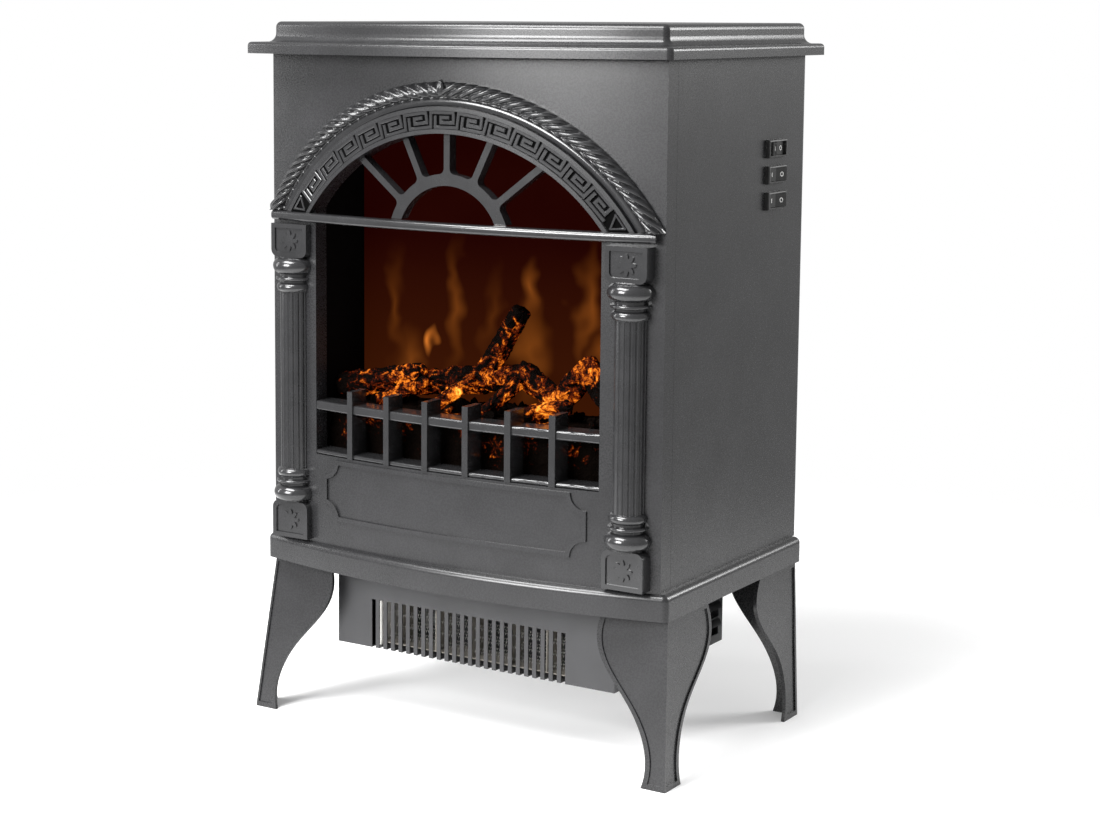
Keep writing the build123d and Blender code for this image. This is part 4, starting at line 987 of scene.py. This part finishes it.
def make_heating_coils(finish):
    """The wound wires strung through the element's boards."""
    low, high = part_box("heating_wires")
    radius = 1.1 * MM
    columns, rows = 3, 4
    places = []
    for column in range(columns):
        for row in range(rows):
            y = low[1] + radius + (high[1] - low[1] - 2 * radius) * column / (columns - 1)
            z = low[2] + radius + (high[2] - low[2] - 2 * radius) * row / (rows - 1)
            places.append(((low[0], y, z), (0, math.pi / 2, 0)))
    made = bake(coil_tree(), turned_points("coil_places", places), {
        "Turns": float(sizes().coil_turns), "Coil radius": radius - 0.3 * MM,
        "Length": high[0] - low[0], "Wire radius": 0.28 * MM, "Finish": finish,
    })
    made.shade_smooth()
    return make_piece("heating_coils", made, finish, "heating_alloy", "heating_wires")


def ring_points(radius, sides):
    """Points round a flat ring, as places across and up."""
    swings = [math.tau * k / sides for k in range(sides)]
    return [(radius * math.cos(swing), radius * math.sin(swing)) for swing in swings]


def make_switch_marks(finish, switch, body, level, tilt):
    """The bar and the ring on one rocker's two faces."""
    pivot = Vector((178.3 * MM, 77 * MM, level))
    slope, reach = math.radians(8), 6.8
    turn = Matrix.Rotation(math.radians(tilt), 4, "Z")
    wide, tall = 0.35 * MM, 1.7 * MM
    bar = [(-wide, -tall), (wide, -tall), (wide, tall), (-wide, tall)]
    radius, line, sides = 1.35 * MM, 0.5 * MM, 28
    ring = ring_points(radius, sides) + ring_points(radius + line, sides)
    quads = [[k, (k + 1) % sides, sides + (k + 1) % sides, sides + k] for k in range(sides)]
    points, faces = [], []
    # Each mark's end of the rocker, outline, faces and how many corners lie between its walls
    for end, flat, tops, step in ((-1, bar, [[0, 1, 2, 3]], 1), (1, ring, quads, 2)):
        face_turn = Matrix.Rotation(-end * slope, 4, "Z")
        spot = Vector(((1 + reach * math.tan(slope)) * MM, end * reach * MM, 0))
        base, over = len(points), len(points) + len(flat)
        for lift in (0.02 * MM, 0.1 * MM):
            for across, up in flat:
                points.append(pivot + turn @ (face_turn @ Vector((lift, across, up)) + spot))
        for top in tops:
            faces.append([over + k for k in top])
            faces.append([base + k for k in reversed(top)])
            for a, b in list(zip(top, top[1:] + top[:1]))[::step]:
                faces.append([base + a, base + b, over + b, over + a])
    marks = recalculate(make_mesh(f"{switch}_marks", points, faces, smooth=False))
    return make_piece(f"{switch}_switch_marks", marks, finish, "rocker_plastic", body=body)


# Stage


def make_floor():
    """The pale floor, which fades out with its distance from the stove."""
    far = 6.0
    corners = [(-far, -far, 0), (far, -far, 0), (far, far, 0), (-far, far, 0)]
    floor = bpy.data.objects.new("floor", make_mesh("floor", corners, [[0, 1, 2, 3]]))
    bpy.context.scene.collection.objects.link(floor)
    material, tree, shader = new_material("Pale floor")
    cloud = noise_at(tree, object_place(tree), 3, 2)
    away = vector_node(tree, "LENGTH", object_place(tree))["Value"]
    set_sockets(tree, shader, {
        "Base Color": blend_colours(tree, cloud, (0.86, 0.86, 0.86), (0.90, 0.90, 0.90)),
        "Roughness": 0.9, "Specular IOR Level": 0.0, "Emission Color": (1, 1, 1, 1),
        "Emission Strength": 0.16, "Alpha": span(tree, away, 0.45, 1.0, 1.0, 0.0),
    })
    floor.data.materials.append(material)


def make_lamp(name, place, wide, tall, power):
    """A rectangular lamp that points at the stove's middle."""
    light = bpy.data.lights.new(name, "AREA")
    light.shape = "RECTANGLE"
    light.size, light.size_y, light.energy = wide, tall, power
    lamp = bpy.data.objects.new(name, light)
    lamp.location = place
    aim = Vector((0, 0, 0.3)) - lamp.location
    lamp.rotation_euler = aim.to_track_quat("-Z", "Y").to_euler()
    bpy.context.scene.collection.objects.link(lamp)


def make_background():
    """A white background that lights the stove at half of what it shows."""
    world = bpy.data.worlds.new("Studio")
    world.use_nodes = True
    bpy.context.scene.world = world
    sky = world.node_tree
    back = sky.nodes["Background"]
    path = sky.nodes.new("ShaderNodeLightPath").outputs
    seen = reckon(sky, "MAXIMUM", path["Is Camera Ray"], path["Is Transmission Ray"])
    set_sockets(sky, back, {"Color": (1, 1, 1, 1), "Strength": span(sky, seen, 0, 1, 0.5, 1.0)})


def make_camera():
    """The photograph's camera, as fitted to the stove's corners."""
    data = bpy.data.cameras.new("photo_camera")
    data.sensor_width = 36
    data.lens = 74.16
    data.shift_x, data.shift_y = 0.10, -0.10
    data.clip_start, data.clip_end = 0.05, 50
    camera = bpy.data.objects.new("photo_camera", data)
    yaw, pitch, roll = (math.radians(angle) for angle in (33.637, 7.293, 0.186))
    camera.location = (939.13 * MM, -1537.41 * MM, 567.78 * MM)
    look = Matrix.Rotation(yaw, 3, "Z") @ Matrix.Rotation(math.pi / 2 - pitch, 3, "X")
    camera.rotation_euler = (look @ Matrix.Rotation(roll, 3, "Z")).to_euler()
    bpy.context.scene.collection.objects.link(camera)
    bpy.context.scene.camera = camera


# Operators


class StovePiece:
    """What every operator here shares."""

    bl_options = {"REGISTER", "UNDO"}


class STOVE_OT_groups(StovePiece, bpy.types.Operator):
    """Builds the shader groups that the finishes share"""

    bl_idname = "stove.groups"
    bl_label = "Shader groups"

    def execute(self, context):
        paint_grain_group()
        brushed_lines_group()
        painted_glow_group()
        return {"FINISHED"}


class STOVE_OT_cabinet(StovePiece, bpy.types.Operator):
    """Paints the cabinet, the lid, the skirt, the legs and the cast trim"""

    bl_idname = "stove.cabinet"
    bl_label = "Cabinet and trim"

    def execute(self, context):
        shades = colours()
        pressed = paint("Black enamel", shades.enamel, shades.enamel_roughness)
        cast = paint("Cast enamel", shades.enamel, shades.enamel_roughness - 0.07,
                     grain=60.0, strength=0.02, coat=0.3)
        paint_nodes(pressed, "top_cover", "front_panel", "left_side_panel", "right_side_panel",
                    "base_skirt", "front_left_leg", "front_right_leg", "rear_left_leg",
                    "rear_right_leg")
        paint_nodes(cast, "sunburst", "left_column", "right_column", "upper_left_block",
                    "upper_right_block", "lower_left_block", "lower_right_block", "log_fender")
        # Painted shade in the key band's recess.
        paint_nodes(recess_with_painted_shade(), "key_band")
        return {"FINISHED"}


class STOVE_OT_key(StovePiece, bpy.types.Operator):
    """Makes the key pattern on the arch's band"""

    bl_idname = "stove.key"
    bl_label = "Key pattern"

    def execute(self, context):
        make_key_pattern(bpy.data.materials["Cast enamel"])
        return {"FINISHED"}


class STOVE_OT_rope(StovePiece, bpy.types.Operator):
    """Makes the twisted rope round the arch, the leaf at its top and the bar under it"""

    bl_idname = "stove.rope"
    bl_label = "Rope, leaf and bar"

    def execute(self, context):
        make_rope(bpy.data.materials["Cast enamel"])
        make_leaf(bpy.data.materials["Cast enamel"])
        make_transom(bpy.data.materials["Cast enamel"])
        return {"FINISHED"}


class STOVE_OT_fire(StovePiece, bpy.types.Operator):
    """Makes the logs, the ember bed and its loose embers"""

    bl_idname = "stove.fire"
    bl_label = "Logs and embers"

    def execute(self, context):
        # Painted light: the logs, the bed and the loose embers glow by emission.
        make_logs(charred_with_painted_glow("Bark with painted glow", 80.0, WOOD_SPOTS, 0.45, 0.92, 0.030, 1.5,
                          (0.0012, 0.0005, 0.0003), 2.0 * MM))
        bed = charred_with_painted_glow("Ember bed", 110.0, BED_SPOTS, 0.10, 0.72, 0.022, 1.0,
                      (0.002, 0.001, 0.0006), 2.0 * MM)
        make_ember_bed(bed)
        make_ember_lumps(bed)
        return {"FINISHED"}


class STOVE_OT_screen(StovePiece, bpy.types.Operator):
    """Finishes the flame screen and the black walls round the fire"""

    bl_idname = "stove.screen"
    bl_label = "Flame screen"

    def execute(self, context):
        # Painted light: the flames and the glow on the screen are emitted.
        paint_nodes(flame_screen_painted_light(), "flame_screen")
        walls = paint("Firebox black", (0.0025, 0.002, 0.002), 0.62, specular=0.05)
        paint_nodes(walls, "firebox_left_wall", "firebox_right_wall", "firebox_ceiling",
                    "fire_deck")
        return {"FINISHED"}


class STOVE_OT_heater(StovePiece, bpy.types.Operator):
    """Finishes the heater box and makes the coils behind its grille"""

    bl_idname = "stove.heater"
    bl_label = "Heater"

    def execute(self, context):
        paint_nodes(paint("Satin sheet", (0.030, 0.030, 0.032), 0.48), "heater_box", "back_panel")
        paint_nodes(paint("Pressed mica", (0.26, 0.24, 0.21), 0.55, grain=140.0), "heating_element")
        paint_nodes(paint("White ceramic", (0.80, 0.79, 0.75), 0.25, coat=0.5),
                    "element_end_clips", "thermal_cutout")
        make_heating_coils(bare_metal("Heating wire", (0.50, 0.49, 0.47), 0.4))
        return {"FINISHED"}


class STOVE_OT_works(StovePiece, bpy.types.Operator):
    """Finishes the screws, the blower, the spindle and the supply inside the cabinet"""

    bl_idname = "stove.works"
    bl_label = "Inner works"

    def execute(self, context):
        paint_nodes(bare_metal("Zinc plate", (0.62, 0.62, 0.63), 0.38), "back_panel_screws",
                    "leg_screws", "heater_box_screws", "blower_scroll", "spindle_motor",
                    "blower_motor")
        paint_nodes(bare_metal("Bright sheet", (0.80, 0.80, 0.80), 0.26), "flame_mask",
                    "flame_spindle", "blower_wheel")
        paint_nodes(bare_metal("Turned brass", (0.72, 0.53, 0.22), 0.3), "spindle_bushes")
        paint_nodes(paint("Board laminate", (0.04, 0.16, 0.07), 0.4, grain=120.0),
                    "ember_light_board", "flame_light_board")
        paint_nodes(paint("White moulding", (0.78, 0.78, 0.76), 0.45, grain=90.0),
                    "led_driver", "terminal_block")
        return {"FINISHED"}


class STOVE_OT_switches(StovePiece, bpy.types.Operator):
    """Finishes the switches and their gland, and marks the rockers"""

    bl_idname = "stove.switches"
    bl_label = "Switches"

    def execute(self, context):
        paint_nodes(paint("Housing plastic", (0.018, 0.018, 0.018), 0.5, grain=160.0),
                    "cord_gland", "main_switch_housing", "low_heat_switch_housing",
                    "high_heat_switch_housing")
        paint_nodes(paint("Rocker plastic", (0.012, 0.012, 0.012), 0.22, grain=160.0,
                          strength=0.04),
                    "main_switch_rocker", "low_heat_switch_rocker", "high_heat_switch_rocker")
        marks = paint("Mark white", (0.82, 0.82, 0.80), 0.5, grain=200.0)
        rows = (("main", "main_rocker", 463.4, 8), ("low_heat", "low_heat_rocker", 443.1, -8),
                ("high_heat", "high_heat_rocker", 422.8, -8))
        for switch, body, level, tilt in rows:
            make_switch_marks(marks, switch, body, level * MM, tilt)
        return {"FINISHED"}


class STOVE_OT_stage(StovePiece, bpy.types.Operator):
    """Sets the floor, the lamps, the background and the camera"""

    bl_idname = "stove.stage"
    bl_label = "Stage"

    def execute(self, context):
        context.scene.view_settings.view_transform = "Standard"
        make_floor()
        for lamp in LAMPS:
            make_lamp(*lamp)
        make_background()
        make_camera()
        return {"FINISHED"}


class STOVE_PT_panel(bpy.types.Panel):
    """Lists the stove's sizes, colours and pieces in the sidebar"""

    bl_idname = "STOVE_PT_panel"
    bl_label = "Electric stove"
    bl_space_type = "VIEW_3D"
    bl_region_type = "UI"
    bl_category = "Stove"

    def draw(self, context):
        layout = self.layout
        for group in (context.scene.stove_sizes, context.scene.stove_colours):
            box = layout.box()
            for name in group.__annotations__:
                box.prop(group, name)
        for operator in OPERATORS:
            layout.operator(operator.bl_idname)


OPERATORS = (
    STOVE_OT_groups, STOVE_OT_cabinet, STOVE_OT_key, STOVE_OT_rope, STOVE_OT_fire,
    STOVE_OT_screen, STOVE_OT_heater, STOVE_OT_works, STOVE_OT_switches, STOVE_OT_stage,
)
CLASSES = (StoveSizes, StoveColours, *OPERATORS, STOVE_PT_panel)


def register():
    """Registers the classes and hangs the settings on the scene."""
    for entry in CLASSES:
        bpy.utils.register_class(entry)
    bpy.types.Scene.stove_sizes = PointerProperty(type=StoveSizes)
    bpy.types.Scene.stove_colours = PointerProperty(type=StoveColours)


def unregister():
    """Takes the settings and the classes away."""
    del bpy.types.Scene.stove_colours
    del bpy.types.Scene.stove_sizes
    for entry in reversed(CLASSES):
        bpy.utils.unregister_class(entry)


def main():
    """Makes every piece in order."""
    register()
    for operator in OPERATORS:
        group, name = operator.bl_idname.split(".")
        getattr(getattr(bpy.ops, group), name)()


if __name__ == "__main__":
    main()
